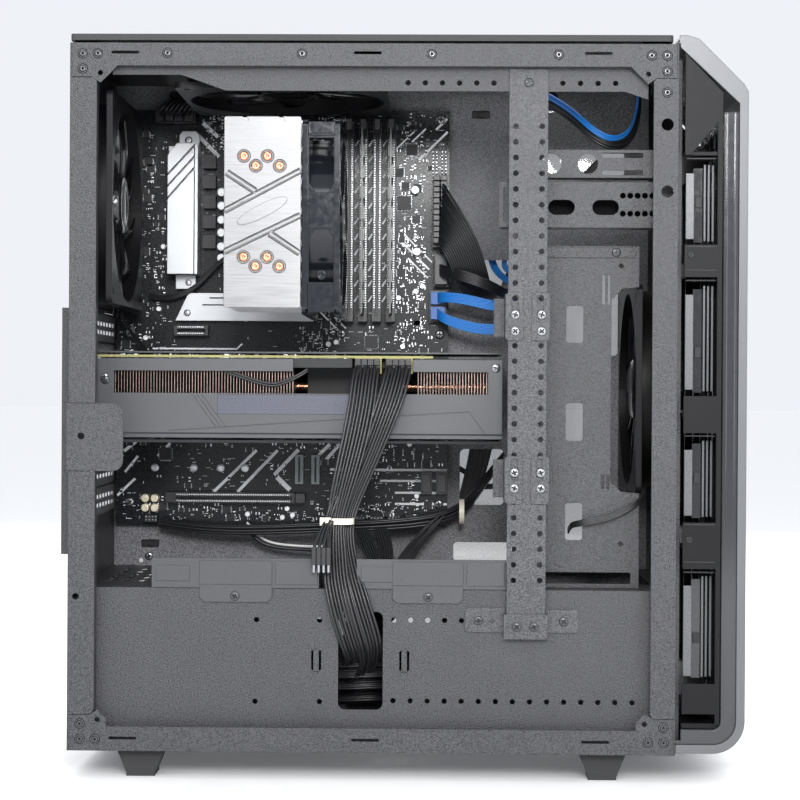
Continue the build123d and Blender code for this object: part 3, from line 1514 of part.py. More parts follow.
with BuildPart() as leads:
    lead(board_supply_route, 5.2)
    lead(card_route_left, 3.6)
    lead(card_route_right, 3.6)
    lead(usb_route, 2.2)
    lead(data_route_upper, 2.4)
    lead(data_route_lower, 2.4)
    lead(front_route, 3.6)
    lead(processor_route, 3.4)
    lead(rear_fan_route, 1.5)
    lead(cooler_fan_route, 1.6)
    lead(front_fan_route, 1.8)
    lead(pale_route, 1.3)
    lead(drop_route_rear, 3.0)
    lead(drop_route_front, 3.0)
    lead(front_loop_route, 3.0)
    lead(cross_route, 1.6)
save(leads, "leads")

tie_centre = (175.6, 24.6, 149.0)
with BuildPart() as cable_ties:
    with BuildSketch(level_plane(tie_centre[2] - 2)):
        with Locations((tie_centre[0], tie_centre[1])):
            RectangleRounded(19.6, 12.0, 5.9)
            RectangleRounded(17.8, 10.2, 5.0, mode=Mode.SUBTRACT)
    extrude(amount=4)
    buckle_x = (tie_centre[0] - 12.4, tie_centre[0] - 5.0)
    block(buckle_x, (tie_centre[1] - 7.2, tie_centre[1] - 4.7), (tie_centre[2] - 2.6, tie_centre[2] + 2.6))
    with BuildSketch(end_plane(256)):
        with Locations((170, 147.5)):
            Circle(9.2)
            Circle(8.0, mode=Mode.SUBTRACT)
    extrude(amount=3.6)
save(cable_ties, "cable_ties")
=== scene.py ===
"""Looks for the desktop computer tower: its camera, light, materials and finely made pieces.

Places are given in case millimetres, as in the CAD: x runs forward, y into the case and z up
from the lower rear corner of the open side. at() turns them into metres in the row's frame.
"""

import math
import random

import bmesh
import bpy
from mathutils import Matrix, Vector


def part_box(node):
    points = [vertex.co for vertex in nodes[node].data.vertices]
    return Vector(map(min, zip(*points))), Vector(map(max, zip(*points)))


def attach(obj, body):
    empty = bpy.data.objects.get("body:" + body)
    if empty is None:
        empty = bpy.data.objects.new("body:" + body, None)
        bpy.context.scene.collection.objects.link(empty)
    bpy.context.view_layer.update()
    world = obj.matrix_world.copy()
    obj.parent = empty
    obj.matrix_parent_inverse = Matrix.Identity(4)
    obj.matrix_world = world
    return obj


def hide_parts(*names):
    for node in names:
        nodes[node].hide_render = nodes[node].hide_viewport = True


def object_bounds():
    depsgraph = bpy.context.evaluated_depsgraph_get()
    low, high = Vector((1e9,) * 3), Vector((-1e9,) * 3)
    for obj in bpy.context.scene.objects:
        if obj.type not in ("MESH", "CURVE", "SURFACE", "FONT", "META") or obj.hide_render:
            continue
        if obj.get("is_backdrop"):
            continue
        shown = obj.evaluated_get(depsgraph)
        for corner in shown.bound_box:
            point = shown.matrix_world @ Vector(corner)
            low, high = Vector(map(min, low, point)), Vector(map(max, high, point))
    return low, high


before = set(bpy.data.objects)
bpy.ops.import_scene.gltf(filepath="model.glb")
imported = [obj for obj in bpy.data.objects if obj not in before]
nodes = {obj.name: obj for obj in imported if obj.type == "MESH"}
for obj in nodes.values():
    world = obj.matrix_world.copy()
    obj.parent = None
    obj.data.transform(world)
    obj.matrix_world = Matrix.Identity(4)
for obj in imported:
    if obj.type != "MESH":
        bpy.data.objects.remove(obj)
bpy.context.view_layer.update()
CORNER = Vector((-0.2135, -0.10935, 0.018))
MM = 0.001


def at(x, y, z):
    return CORNER + Vector((x, y, z)) * MM


# Materials ------------------------------------------------------------------------------------
def make_material(name, color, metallic=0.0, roughness=0.5, spread=0.08, variation=0.1, patch=30.0,
                  grain=900.0, stretch=(1, 1, 1), bump=0.1, depth=0.0002, speckle=0.0, edge=0.0,
                  coat=0.0, alpha=1.0, gleam=0.5):
    """A procedural finish: broad colour patches, fine grain in colour, roughness and relief."""
    material = bpy.data.materials.new(name)
    material.use_nodes = True
    tree = material.node_tree
    new, link = tree.nodes.new, tree.links.new
    shader = tree.nodes["Principled BSDF"]
    shader.inputs["Metallic"].default_value = metallic
    shader.inputs["Specular IOR Level"].default_value = gleam
    shader.inputs["Coat Weight"].default_value = coat
    shader.inputs["Coat Roughness"].default_value = 0.08
    shader.inputs["Alpha"].default_value = alpha
    place = new("ShaderNodeTexCoord").outputs["Object"]
    mapping = new("ShaderNodeMapping")
    mapping.inputs["Scale"].default_value = stretch
    link(place, mapping.inputs["Vector"])
    fine = new("ShaderNodeTexNoise")
    fine.inputs["Scale"].default_value = grain
    fine.inputs["Detail"].default_value = 3.0
    link(mapping.outputs["Vector"], fine.inputs["Vector"])
    broad = new("ShaderNodeTexNoise")
    broad.inputs["Scale"].default_value = patch
    broad.inputs["Detail"].default_value = 2.0
    link(place, broad.inputs["Vector"])
    colors = new("ShaderNodeMix")
    colors.data_type = "RGBA"
    colors.inputs["A"].default_value = (*[max(0.0, c * (1 - variation)) for c in color], 1)
    colors.inputs["B"].default_value = (*[min(1.0, c * (1 + variation)) for c in color], 1)
    link(broad.outputs["Fac"], colors.inputs["Factor"])
    result = colors.outputs["Result"]
    if speckle:
        ramp = new("ShaderNodeMapRange")
        ramp.inputs["From Min"].default_value = 0.35
        ramp.inputs["From Max"].default_value = 0.65
        ramp.inputs["To Min"].default_value = 1 - speckle
        ramp.inputs["To Max"].default_value = 1 + speckle
        link(fine.outputs["Fac"], ramp.inputs["Value"])
        grains = new("ShaderNodeVectorMath")
        grains.operation = "SCALE"
        link(result, grains.inputs["Vector"])
        link(ramp.outputs["Result"], grains.inputs["Scale"])
        result = grains.outputs["Vector"]
    link(result, shader.inputs["Base Color"])
    rough = new("ShaderNodeMapRange")
    rough.inputs["From Min"].default_value = 0.3
    rough.inputs["From Max"].default_value = 0.7
    rough.inputs["To Min"].default_value = max(0.02, roughness - spread)
    rough.inputs["To Max"].default_value = min(1.0, roughness + spread)
    link(fine.outputs["Fac"], rough.inputs["Value"])
    link(rough.outputs["Result"], shader.inputs["Roughness"])
    relief = new("ShaderNodeBump")
    relief.inputs["Strength"].default_value = bump
    relief.inputs["Distance"].default_value = depth
    link(fine.outputs["Fac"], relief.inputs["Height"])
    if edge:
        rounding = new("ShaderNodeBevel")
        rounding.samples = 4
        rounding.inputs["Radius"].default_value = edge
        link(rounding.outputs["Normal"], relief.inputs["Normal"])
    link(relief.outputs["Normal"], shader.inputs["Normal"])
    return material


powder = make_material("powder_coat", (0.037, 0.037, 0.041), roughness=0.42, spread=0.18, variation=0.14,
                       grain=1100, bump=0.85, depth=0.0005, speckle=0.75, edge=0.0006)
# The chassis powder coat drawn lighter: painted light on the strut and its brackets, and a painted highlight
# on the rivets' raised ring.
powder_painted_lit = make_material("powder_coat_painted_lit", (0.052, 0.052, 0.057), roughness=0.42, spread=0.14,
                             variation=0.14, grain=1100, bump=0.85, depth=0.0005, speckle=0.75,
                             edge=0.0006)
# The chassis powder coat drawn much lighter inside the case: painted light standing in for lamp light that
# reaches deep in.
inner_powder_painted_light = make_material("powder_coat_inner_painted_light", (0.16, 0.16, 0.172), roughness=0.46, spread=0.16,
                            variation=0.12, grain=1100, bump=0.8, depth=0.0005, speckle=0.6)
satin = make_material("satin_black_plastic", (0.008, 0.008, 0.009), roughness=0.40, grain=2200, bump=0.2,
                      edge=0.0004, gleam=0.16)
card_satin = make_material("card_grey_plastic", (0.062, 0.064, 0.070), roughness=0.40, grain=2600,
                           bump=0.25, speckle=0.08, edge=0.0003)
cover_grey = make_material("cover_grey_plastic", (0.05, 0.051, 0.055), roughness=0.42, grain=1800,
                           bump=0.35, speckle=0.2, edge=0.0005)
gloss = make_material("gloss_black_plastic", (0.012, 0.012, 0.014), roughness=0.12, spread=0.05,
                      grain=300, bump=0.05, depth=0.0003, coat=0.4, edge=0.0004)
blade = make_material("blade_black", (0.008, 0.008, 0.009), roughness=0.2, spread=0.05, grain=260,
                      bump=0.05, coat=0.3)
smoke = make_material("smoke_frame", (0.012, 0.014, 0.018), metallic=0.2, roughness=0.14, spread=0.06,
                      grain=240, bump=0.08, depth=0.0005, coat=0.2, edge=0.0008, gleam=0.3)
silver = make_material("silver_plastic", (0.115, 0.118, 0.124), metallic=0.3, roughness=0.36, grain=2600,
                       bump=0.12, variation=0.05, edge=0.0008)
strip_light = make_material("grey_moulding", (0.11, 0.113, 0.12), metallic=0.2, roughness=0.3, grain=1800,
                            bump=0.15, edge=0.0006)
strip = make_material("gloss_strip", (0.022, 0.023, 0.027), metallic=0.2, roughness=0.14, spread=0.04,
                      grain=200, bump=0.03, coat=0.6, edge=0.002)
brushed = make_material("brushed_aluminium", (0.22, 0.22, 0.224), metallic=1.0, roughness=0.42,
                        spread=0.08, variation=0.16, patch=22, grain=1100, stretch=(0.04, 1, 1), bump=0.3,
                        depth=0.00012, speckle=0.14, edge=0.0008)
fin_metal = make_material("fin_aluminium", (0.62, 0.63, 0.65), metallic=1.0, roughness=0.34, grain=500,
                          bump=0.1)
white_metal = make_material("white_heatsink", (0.60, 0.61, 0.63), metallic=0.5, roughness=0.36,
                            spread=0.05, grain=900, bump=0.06, variation=0.03, edge=0.0006)
copper = make_material("copper", (0.66, 0.32, 0.20), metallic=1.0, roughness=0.3, spread=0.14,
                       variation=0.2, patch=400, grain=900, bump=0.3)
# Near-black fin metal: painted shade for the narrow gaps between the card's fins; their front edges use
# card_fin_edge.
card_fin_painted_shade = make_material("card_fin", (0.012, 0.010, 0.010), metallic=0.6, roughness=0.45, grain=400,
                           bump=0.1)
fin_edge = make_material("card_fin_edge", (0.36, 0.27, 0.24), metallic=1.0, roughness=0.3, grain=600,
                         bump=0.1, variation=0.5, patch=120)
mask = make_material("board_mask", (0.006, 0.007, 0.010), roughness=0.3, spread=0.08, variation=0.3,
                     patch=90, grain=900, bump=0.2, depth=0.0001, speckle=0.3, coat=0.08, gleam=0.25)
board_edge = make_material("board_edge", (0.42, 0.40, 0.16), roughness=0.6, grain=1600, bump=0.3,
                           variation=0.25, speckle=0.2)
module_mask = make_material("module_mask", (0.10, 0.105, 0.10), roughness=0.32, variation=0.25, patch=200,
                            grain=900, bump=0.3, speckle=0.4, metallic=0.3)
chip = make_material("chip_black", (0.018, 0.018, 0.020), roughness=0.42, grain=2400, bump=0.2, gleam=0.3)
choke = make_material("choke_grey", (0.045, 0.045, 0.048), roughness=0.5, grain=2000, bump=0.4,
                      speckle=0.2)
socket_black = make_material("socket_black", (0.016, 0.016, 0.018), roughness=0.34, grain=2200, bump=0.2,
                             edge=0.0002)
socket_blue = make_material("socket_blue", (0.02, 0.12, 0.42), roughness=0.38, grain=2200, bump=0.2)
steel = make_material("plated_steel", (0.36, 0.365, 0.38), metallic=1.0, roughness=0.3, grain=1400,
                      bump=0.15, variation=0.1, edge=0.0002)
dark_steel = make_material("black_oxide", (0.09, 0.09, 0.095), metallic=0.7, roughness=0.34, grain=1600,
                           bump=0.2, edge=0.0002)
solder = make_material("solder", (0.62, 0.63, 0.65), metallic=0.9, roughness=0.32, grain=2600, bump=0.4,
                       variation=0.2)
gold = make_material("gold_plate", (0.82, 0.74, 0.56), metallic=0.5, roughness=0.3, grain=1800, bump=0.2)
white_ink = make_material("white_ink", (0.86, 0.88, 0.90), roughness=0.5, grain=2600, bump=0.1,
                          variation=0.06, speckle=0.1)
white_cap = make_material("capacitor_top", (0.85, 0.86, 0.87), metallic=0.35, roughness=0.35, grain=2200,
                          bump=0.2, variation=0.05)
rivet_coat = make_material("rivet_coat", (0.085, 0.085, 0.09), metallic=0.75, roughness=0.26, grain=1600,
                           bump=0.2)
# Near-black painted shade: the rivets' centre recess, groove and outer ring, and the sheet behind the drive
# rails.
painted_shade_black = make_material("painted_shade_black", (0.006, 0.006, 0.007), roughness=0.7, grain=1600, bump=0.2,
                             gleam=0.1)
rubber = make_material("rubber", (0.022, 0.022, 0.023), roughness=0.75, grain=1800, bump=0.5)
lead_black = make_material("lead_black", (0.014, 0.014, 0.016), roughness=0.36, spread=0.06, grain=900,
                           bump=0.1, variation=0.15)
lead_blue = make_material("lead_blue", (0.018, 0.20, 0.62), roughness=0.32, spread=0.05, grain=900,
                          bump=0.1)
lead_pale = make_material("lead_pale", (0.72, 0.72, 0.70), roughness=0.4, grain=900, bump=0.1)
tie_cream = make_material("tie_cream", (0.78, 0.74, 0.60), roughness=0.4, grain=1600, bump=0.15)
tie_grey = make_material("tie_grey", (0.27, 0.31, 0.31), roughness=0.45, grain=1600, bump=0.2)
label = make_material("plain_label", (0.085, 0.088, 0.115), metallic=0.2, roughness=0.3, grain=1400,
                      bump=0.06, variation=0.12, patch=18)
mesh_black = make_material("filter_mesh", (0.03, 0.03, 0.032), roughness=0.6, grain=3200, bump=0.7,
                           depth=0.0004, speckle=0.4)
glass = make_material("tinted_glass", (0.10, 0.105, 0.115), roughness=0.05, spread=0.02, grain=60,
                      bump=0.01, variation=0.04, alpha=0.42, coat=0.3)

tree = board_edge.node_tree
surface = tree.nodes.new("ShaderNodeNewGeometry")
split = tree.nodes.new("ShaderNodeSeparateXYZ")
tree.links.new(surface.outputs["Normal"], split.inputs["Vector"])
level = tree.nodes.new("ShaderNodeMath")
level.operation = "ABSOLUTE"
tree.links.new(split.outputs["Z"], level.inputs[0])
flat_face = tree.nodes.new("ShaderNodeMath")
flat_face.operation = "GREATER_THAN"
flat_face.inputs[1].default_value = 0.5
tree.links.new(level.outputs["Value"], flat_face.inputs[0])
edge_mix = tree.nodes.new("ShaderNodeMix")
edge_mix.data_type = "RGBA"
edge_mix.inputs["B"].default_value = (0.012, 0.013, 0.016, 1)
paint = tree.nodes["Principled BSDF"].inputs["Base Color"]
tree.links.new(flat_face.outputs["Value"], edge_mix.inputs["Factor"])
tree.links.new(paint.links[0].from_socket, edge_mix.inputs["A"])
tree.links.new(edge_mix.outputs["Result"], paint)

finishes = {
    powder: ("chassis_rear_panel", "chassis_top_panel", "chassis_bottom_panel", "chassis_front_panel",
             "psu_shroud", "drive_rails", "slot_retention_plate", "rivets", "side_mount_plate"),
    powder_painted_lit: ("support_strut", "strut_brackets"),
    inner_powder_painted_light: ("motherboard_tray", "slot_covers", "psu_case"),
    satin: ("case_fan_frames", "bezel_frame"),
    cover_grey: ("shroud_covers",),
    rubber: ("feet",),
    mesh_black: ("top_filter", "psu_filter"),
    glass: ("right_side_panel",),
    dark_steel: ("panel_thumbscrews", "screws"),
    smoke: ("cpu_fan_frame",),
    silver: ("front_trim", "power_button"),
    strip: ("front_panel",),
    steel: ("front_ports", "rear_io", "processor", "gpu_bracket"),
    mask: ("motherboard",),
    white_metal: ("board_heatsinks",),
    socket_black: ("dimm_slots", "dimm_latch_1", "dimm_latch_2", "dimm_latch_3", "dimm_latch_4",
                   "pcie_slots", "pcie_latch", "board_connectors"),
    module_mask: ("memory_modules",),
    chip: ("board_components",),
    copper: ("heat_pipes",),
    fin_metal: ("cooler_heatsink",),
    brushed: ("cooler_top_plate",),
    card_satin: ("gpu_covers",),
    card_fin_painted_shade: ("gpu_heatsink",),
    board_edge: ("gpu_board",),
    blade: ("rear_fan_rotor", "top_fan_rotor", "front_fan_rotor", "cpu_fan_rotor", "psu_fan_rotor",
            "gpu_fan_rotor_1", "gpu_fan_rotor_2", "gpu_fan_rotor_3"),
    gloss: ("psu_switch",),
    lead_black: ("leads",),
    tie_cream: ("cable_ties",),
}
for material, names in finishes.items():
    for name in names:
        data = nodes[name].data
        data.materials.clear()
        data.materials.append(material)


# Mesh and curve making ------------------------------------------------------------------------
def round_curve(name, radius, detail, material):
    curve = bpy.data.curves.new(name, "CURVE")
    curve.dimensions = "3D"
    curve.bevel_depth = radius * MM
    curve.bevel_resolution = detail
    curve.use_fill_caps = True
    curve.materials.append(material)
    return curve


def smooth_line(curve, points, order):
    line = curve.splines.new("NURBS")
    line.points.add(len(points) - 1)
    for spot, point in zip(line.points, points):
        spot.co = (*at(*point), 1)
    line.order_u = order
    line.use_endpoint_u = True


def place_curve(curve, body):
    piece = bpy.data.objects.new(curve.name, curve)
    bpy.context.scene.collection.objects.link(piece)
    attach(piece, body)
    return piece


class Shape:
    """Vertices and faces in case millimetres, each face with the number of its material."""

    def __init__(self):
        self.points, self.faces, self.marks = [], [], []

    def add(self, points, faces, mark=0):
        start = len(self.points)
        self.points += [tuple(p) for p in points]
        self.faces += [tuple(start + i for i in face) for face in faces]
        self.marks += [mark] * len(faces)

    def prism(self, outline, low, high, axis="y", mark=0):
        """An outline drawn in the two other axes, in x, y, z order, run from low to high."""
        turn = {"x": lambda a, b, c: (c, a, b), "y": lambda a, b, c: (a, c, b),
                "z": lambda a, b, c: (a, b, c)}[axis]
        n = len(outline)
        points = [turn(a, b, low) for a, b in outline] + [turn(a, b, high) for a, b in outline]
        faces = [tuple(range(n)), tuple(range(2 * n - 1, n - 1, -1))]
        faces += [(i, (i + 1) % n, n + (i + 1) % n, n + i) for i in range(n)]
        self.add(points, faces, mark)

    def block(self, x, y, z, mark=0):
        self.prism([(x[0], z[0]), (x[1], z[0]), (x[1], z[1]), (x[0], z[1])], y[0], y[1], "y", mark)

    def bar(self, start, end, width, y, mark=0):
        """A slanted bar in the side view, between two points, that fills the range y."""
        along = Vector((end[0] - start[0], end[1] - start[1]))
        side = Vector((-along.y, along.x)).normalized() * width / 2
        a, b = Vector(start), Vector(end)
        self.prism([tuple(a - side), tuple(b - side), tuple(b + side), tuple(a + side)], y[0], y[1], "y",
                   mark)

    def turned(self, centre, axis, profile, sides=28, mark=0):
        """A solid of revolution: profile points are (radius, height) along the axis."""
        axis = Vector(axis).normalized()
        first = axis.orthogonal().normalized()
        second = axis.cross(first)
        points, rings = [], []
        for radius, height in profile:
            if radius < 1e-6:
                rings.append([len(points)])
                points.append(Vector(centre) + axis * height)
                continue
            rings.append(list(range(len(points), len(points) + sides)))
            for k in range(sides):
                a = 2 * math.pi * k / sides
                offset = (first * math.cos(a) + second * math.sin(a)) * radius
                points.append(Vector(centre) + axis * height + offset)
        faces = []
        for low, high in zip(rings, rings[1:]):
            for k in range(sides):
                k2 = (k + 1) % sides
                if len(low) == 1 and len(high) == 1:
                    continue
                if len(low) == 1:
                    faces.append((low[0], high[k2], high[k]))
                elif len(high) == 1:
                    faces.append((low[k], low[k2], high[0]))
                else:
                    faces.append((low[k], low[k2], high[k2], high[k]))
        self.add(points, faces, mark)

    def make(self, name, materials, body="case", like=None, replaces=(), bevel=0.0, smooth=False,
             thickness=0.0):
        mesh = bpy.data.meshes.new(name)
        mesh.from_pydata([at(*p) for p in self.points], [], self.faces)
        piece = bpy.data.objects.new(name, mesh)
        bpy.context.scene.collection.objects.link(piece)
        for material in materials:
            mesh.materials.append(material)
        mesh.polygons.foreach_set("material_index", self.marks)
        work = bmesh.new()
        work.from_mesh(mesh)
        bmesh.ops.recalc_face_normals(work, faces=work.faces)
        work.to_mesh(mesh)
        work.free()
        if smooth:
            mesh.shade_smooth()
            mesh.set_sharp_from_angle(angle=math.radians(40))
        if thickness:
            solid = piece.modifiers.new("thickness", "SOLIDIFY")
            solid.thickness = thickness * MM
            solid.offset = 0.0
        if bevel:
            rounding = piece.modifiers.new("edges", "BEVEL")
            rounding.width = bevel * MM
            rounding.segments = 2
            rounding.limit_method = "ANGLE"
            rounding.angle_limit = math.radians(35)
        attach(piece, body)
        if replaces:
            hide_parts(*replaces)
        return piece


def solids(node):
    """The lowest and highest corner, in case millimetres, of each separate solid of a node."""
    work = bmesh.new()
    work.from_mesh(nodes[node].data)
    bmesh.ops.remove_doubles(work, verts=work.verts, dist=2e-6)
    seen, found = set(), []
    for seed in work.verts:
        if seed in seen:
            continue
        stack, members = [seed], []
        seen.add(seed)
        while stack:
            vertex = stack.pop()
            members.append((vertex.co - CORNER) / MM)
            for edge in vertex.link_edges:
                other = edge.other_vert(vertex)
                if other not in seen:
                    seen.add(other)
                    stack.append(other)
        low = Vector([min(p[i] for p in members) for i in range(3)])
        high = Vector([max(p[i] for p in members) for i in range(3)])
        found.append((low, high))
    work.free()
    return sorted(found, key=lambda pair: tuple(round(c, 2) for c in pair[0]))


# Camera, floor and light ----------------------------------------------------------------------
scene = bpy.context.scene
scene.view_settings.view_transform = "Standard"
YAW, PITCH, ROLL = -0.0196, -0.0042, 0.0059
forward = Vector((math.sin(YAW) * math.cos(PITCH), math.cos(YAW) * math.cos(PITCH), math.sin(PITCH)))
level_right = Vector((math.cos(YAW), -math.sin(YAW), 0))
level_up = level_right.cross(forward)
right = level_right * math.cos(ROLL) + level_up * math.sin(ROLL)
up = level_up * math.cos(ROLL) - level_right * math.sin(ROLL)
lens = bpy.data.cameras.new("camera")
lens.sensor_width = 36.0
lens.lens = 95.78
camera = bpy.data.objects.new("camera", lens)
scene.collection.objects.link(camera)
camera.matrix_world = Matrix.Translation(at(242.79, -1379.92, 235.12)) @ Matrix(
    (right, up, -forward)).transposed().to_4x4()
scene.camera = camera

floor_mesh = bpy.data.meshes.new("floor")
REACH = 30.0
floor_mesh.from_pydata([(-REACH, -REACH, 0), (REACH, -REACH, 0), (REACH, REACH, 0), (-REACH, REACH, 0)], [],
                       [(0, 1, 2, 3)])
floor = bpy.data.objects.new("floor", floor_mesh)
scene.collection.objects.link(floor)
floor_mesh.materials.append(make_material("pale_floor", (0.90, 0.90, 0.89), roughness=0.55, grain=40,
                                          bump=0.02, variation=0.02, patch=2))
floor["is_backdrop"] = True
glow = floor_mesh.materials[0].node_tree.nodes["Principled BSDF"]
glow.inputs["Emission Color"].default_value = (0.93, 0.95, 1.0, 1)
glow.inputs["Emission Strength"].default_value = 0.10

world = bpy.data.worlds.new("studio")
scene.world = world
world.use_nodes = True
sky = world.node_tree.nodes["Background"]
sky.inputs["Color"].default_value = (0.93, 0.95, 1.0, 1)
sky.inputs["Strength"].default_value = 0.93


def softbox(name, place, target, size, power, color=(1, 1, 1)):
    lamp = bpy.data.lights.new(name, "AREA")
    lamp.shape = "RECTANGLE"
    lamp.size, lamp.size_y = size
    lamp.energy = power
    lamp.color = color
    holder = bpy.data.objects.new(name, lamp)
    scene.collection.objects.link(holder)
    holder.location = place
    holder.rotation_euler = (Vector(target) - Vector(place)).to_track_quat("-Z", "Y").to_euler()


softbox("key", (-0.7, -1.9, 1.45), (0, 0, 0.25), (1.1, 1.1), 20)
softbox("fill", (1.2, -1.8, 0.8), (0, 0, 0.25), (1.0, 1.4), 12, (0.95, 0.97, 1.0))
softbox("flash", (0.12, -1.7, 0.72), (0.0, 0, 0.25), (0.35, 0.35), 17)
softbox("top", (0.1, 0.2, 1.9), (0, 0, 0.2), (1.8, 1.4), 10)
softbox("back", (0.3, 1.9, 1.2), (0, 0, 0.25), (1.6, 1.4), 18)

# Fan rotors -----------------------------------------------------------------------------------
def fan(node, body, axis, count, hub, sweep, tilt_hub, tilt_tip):
    """Curved blades on a rounded hub, inside the box that the CAD rotor fills."""
    low, high = ((corner - CORNER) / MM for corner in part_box(node))
    centre = (low + high) / 2
    index = "xyz".index(axis)
    half = (high[index] - low[index]) / 2
    radius = min(high[i] - low[i] for i in range(3) if i != index) / 2 - 0.3
    along = Vector([1.0 if i == index else 0.0 for i in range(3)])
    first = Vector([1.0 if i == (index + 1) % 3 else 0.0 for i in range(3)])
    second = along.cross(first)
    made = Shape()
    profile = [(0, -half + 0.4), (hub - 2, -half + 0.4), (hub, -half + 1.6), (hub, half - 2.4),
               (hub - 0.7, half - 0.9), (hub - 1.6, half - 0.3), (hub * 0.62, half - 0.3),
               (hub * 0.6, half - 0.6), (0, half - 0.6)]
    made.turned(centre, along, profile, 48)
    rows, columns = 12, 8
    for number in range(count):
        base = 2 * math.pi * number / count
        points = []
        for i in range(rows + 1):
            s = i / rows
            r = hub - 0.6 + (radius - hub + 0.6) * s
            tilt = math.radians(tilt_hub + (tilt_tip - tilt_hub) * s)
            height = (half - 1.4) * (0.86 + 0.14 * math.sin(math.pi * s))
            chord = 2 * height / math.sin(tilt)
            chord = min(chord, 2 * math.pi * r / count * 1.05 / math.cos(tilt))
            lean = math.radians(sweep) * s ** 1.5
            for j in range(columns + 1):
                t = j / columns - 0.5
                camber = 0.07 * chord * (1 - 4 * t * t)
                across = t * chord * math.cos(tilt) - camber * math.sin(tilt)
                rise = t * chord * math.sin(tilt) + camber * math.cos(tilt)
                rise = max(-half + 0.7, min(half - 0.7, rise))
                angle = base + lean + across / r
                spot = first * math.cos(angle) + second * math.sin(angle)
                points.append(centre + spot * r + along * rise)
        faces = []
        for i in range(rows):
            for j in range(columns):
                a = i * (columns + 1) + j
                faces.append((a, a + 1, a + columns + 2, a + columns + 1))
        made.add(points, faces)
    return made.make(node.replace("rotor", "blades"), [blade], body, node, (node,), smooth=True,
                     thickness=1.1)


fan("rear_fan_rotor", "rear_rotor", "x", 9, 20, 26, 62, 30)
fan("top_fan_rotor", "top_rotor", "z", 9, 20, 26, 62, 30)
fan("front_fan_rotor", "front_rotor", "x", 9, 20, 26, 62, 30)
fan("cpu_fan_rotor", "cooler_rotor", "x", 9, 20, 22, 62, 32)
fan("psu_fan_rotor", "supply_rotor", "z", 9, 20, 18, 60, 32)
for number in (1, 2, 3):
    fan(f"gpu_fan_rotor_{number}", f"card_rotor_{number}", "z", 11, 15, 14, 54, 30)

# Screws and rivets ----------------------------------------------------------------------------
def cut_head():
    """A unit pan head with a cross recess: radius 1, seated at 0 and 0.55 high. Faces in the recess are
    marked 2 for painted shade.
    """
    body = Shape()
    body.turned((0, 0, 0), (0, 0, 1),
                [(0, 0), (1, 0), (1, 0.2), (0.93, 0.38), (0.72, 0.5), (0.4, 0.55), (0, 0.55)])
    cutter = Shape()
    for width, length in ((0.2, 0.62), (0.62, 0.2)):
        cutter.prism([(-width, -length), (width, -length), (width, length), (-width, length)], 0.2, 0.9,
                     "z")
    pieces = []
    for shape in (body, cutter):
        mesh = bpy.data.meshes.new("unit")
        mesh.from_pydata(shape.points, [], shape.faces)
        work = bmesh.new()
        work.from_mesh(mesh)
        bmesh.ops.recalc_face_normals(work, faces=work.faces)
        work.to_mesh(mesh)
        work.free()
        piece = bpy.data.objects.new("unit", mesh)
        scene.collection.objects.link(piece)
        pieces.append(piece)
    cut = pieces[0].modifiers.new("cut", "BOOLEAN")
    cut.operation = "DIFFERENCE"
    cut.object = pieces[1]
    cut.solver = "EXACT"
    cut.use_self = True
    bpy.context.view_layer.update()
    result = bpy.data.meshes.new_from_object(
        pieces[0].evaluated_get(bpy.context.evaluated_depsgraph_get()))
    for piece in pieces:
        bpy.data.objects.remove(piece)
    points = [tuple(v.co) for v in result.vertices]
    faces = [tuple(p.vertices) for p in result.polygons]
    # Recess faces get mark 2: painted shade, drawn in chip black.
    recess = [2 if 0.1 < p.center.z < 0.42 and math.hypot(p.center.x, p.center.y) < 0.63 else 0
              for p in result.polygons]
    return points, faces, recess


HEAD = cut_head()
BRIGHT_ZONES = [((200, 318), (-10, 60), (150, 350))]


def fasteners(node, name, unit, materials, sides=None):
    made = Shape()
    for low, high in solids(node):
        size = high - low
        middle = (low + high) / 2
        index = min(range(3), key=lambda i: size[i])
        radius = max(size) / 2
        direction = -1.0
        if index == 2:
            direction = 1.0 if middle.z > 230 else -1.0
        if index == 1 and middle.y > 195:
            direction = 1.0
        along = Vector([direction if i == index else 0.0 for i in range(3)])
        seat = middle - along * size[index] / 2
        turn = Vector((0, 0, 1)).rotation_difference(along).to_matrix()
        spin = Matrix.Rotation((middle.x * 7.3 + middle.z * 3.1) % 3.1, 3, "Z")
        mark = 0
        if node == "screws":
            for x, y, z in BRIGHT_ZONES:
                if x[0] < middle.x < x[1] and y[0] < middle.y < y[1] and z[0] < middle.z < z[1]:
                    mark = 1
            if middle.y > 150:
                mark = 1
        height = size[index] / 0.55
        points = []
        for p in unit[0]:
            local = spin @ Vector(p)
            local = Vector((local.x * radius, local.y * radius, local.z * height))
            points.append(seat + turn @ local)
        made.add(points, unit[1])
        made.marks[-len(unit[1]):] = [own or mark for own in unit[2]]
    made.make(name, materials, "case", node, (node,), smooth=True)


# Chip black in the screws' cross recesses is painted shade.
fasteners("screws", "screw_heads", HEAD, [dark_steel, steel, chip])
# Rivet heads: the centre dot, the groove and the outer ring are near-black painted shade (mark 1); the raised
# flange ring is a painted highlight in the lighter powder coat (mark 2).
dome = Shape()
for profile, mark in (([(0, 0.02), (0.2, 0.02)], 1),
                      ([(0.2, 0.02), (0.24, 0.44), (0.4, 0.55), (0.54, 0.46)], 0),
                      ([(0.54, 0.46), (0.56, 0.2), (0.66, 0.2)], 1),
                      ([(0.66, 0.2), (0.68, 0.4), (0.82, 0.38), (0.88, 0.24)], 2),
                      ([(0.88, 0.24), (1, 0)], 1)):
    dome.turned((0, 0, 0), (0, 0, 1), profile, 24, mark)
fasteners("rivets", "rivet_heads", (dome.points, dome.faces, dome.marks),
          [rivet_coat, painted_shade_black, powder_painted_lit])

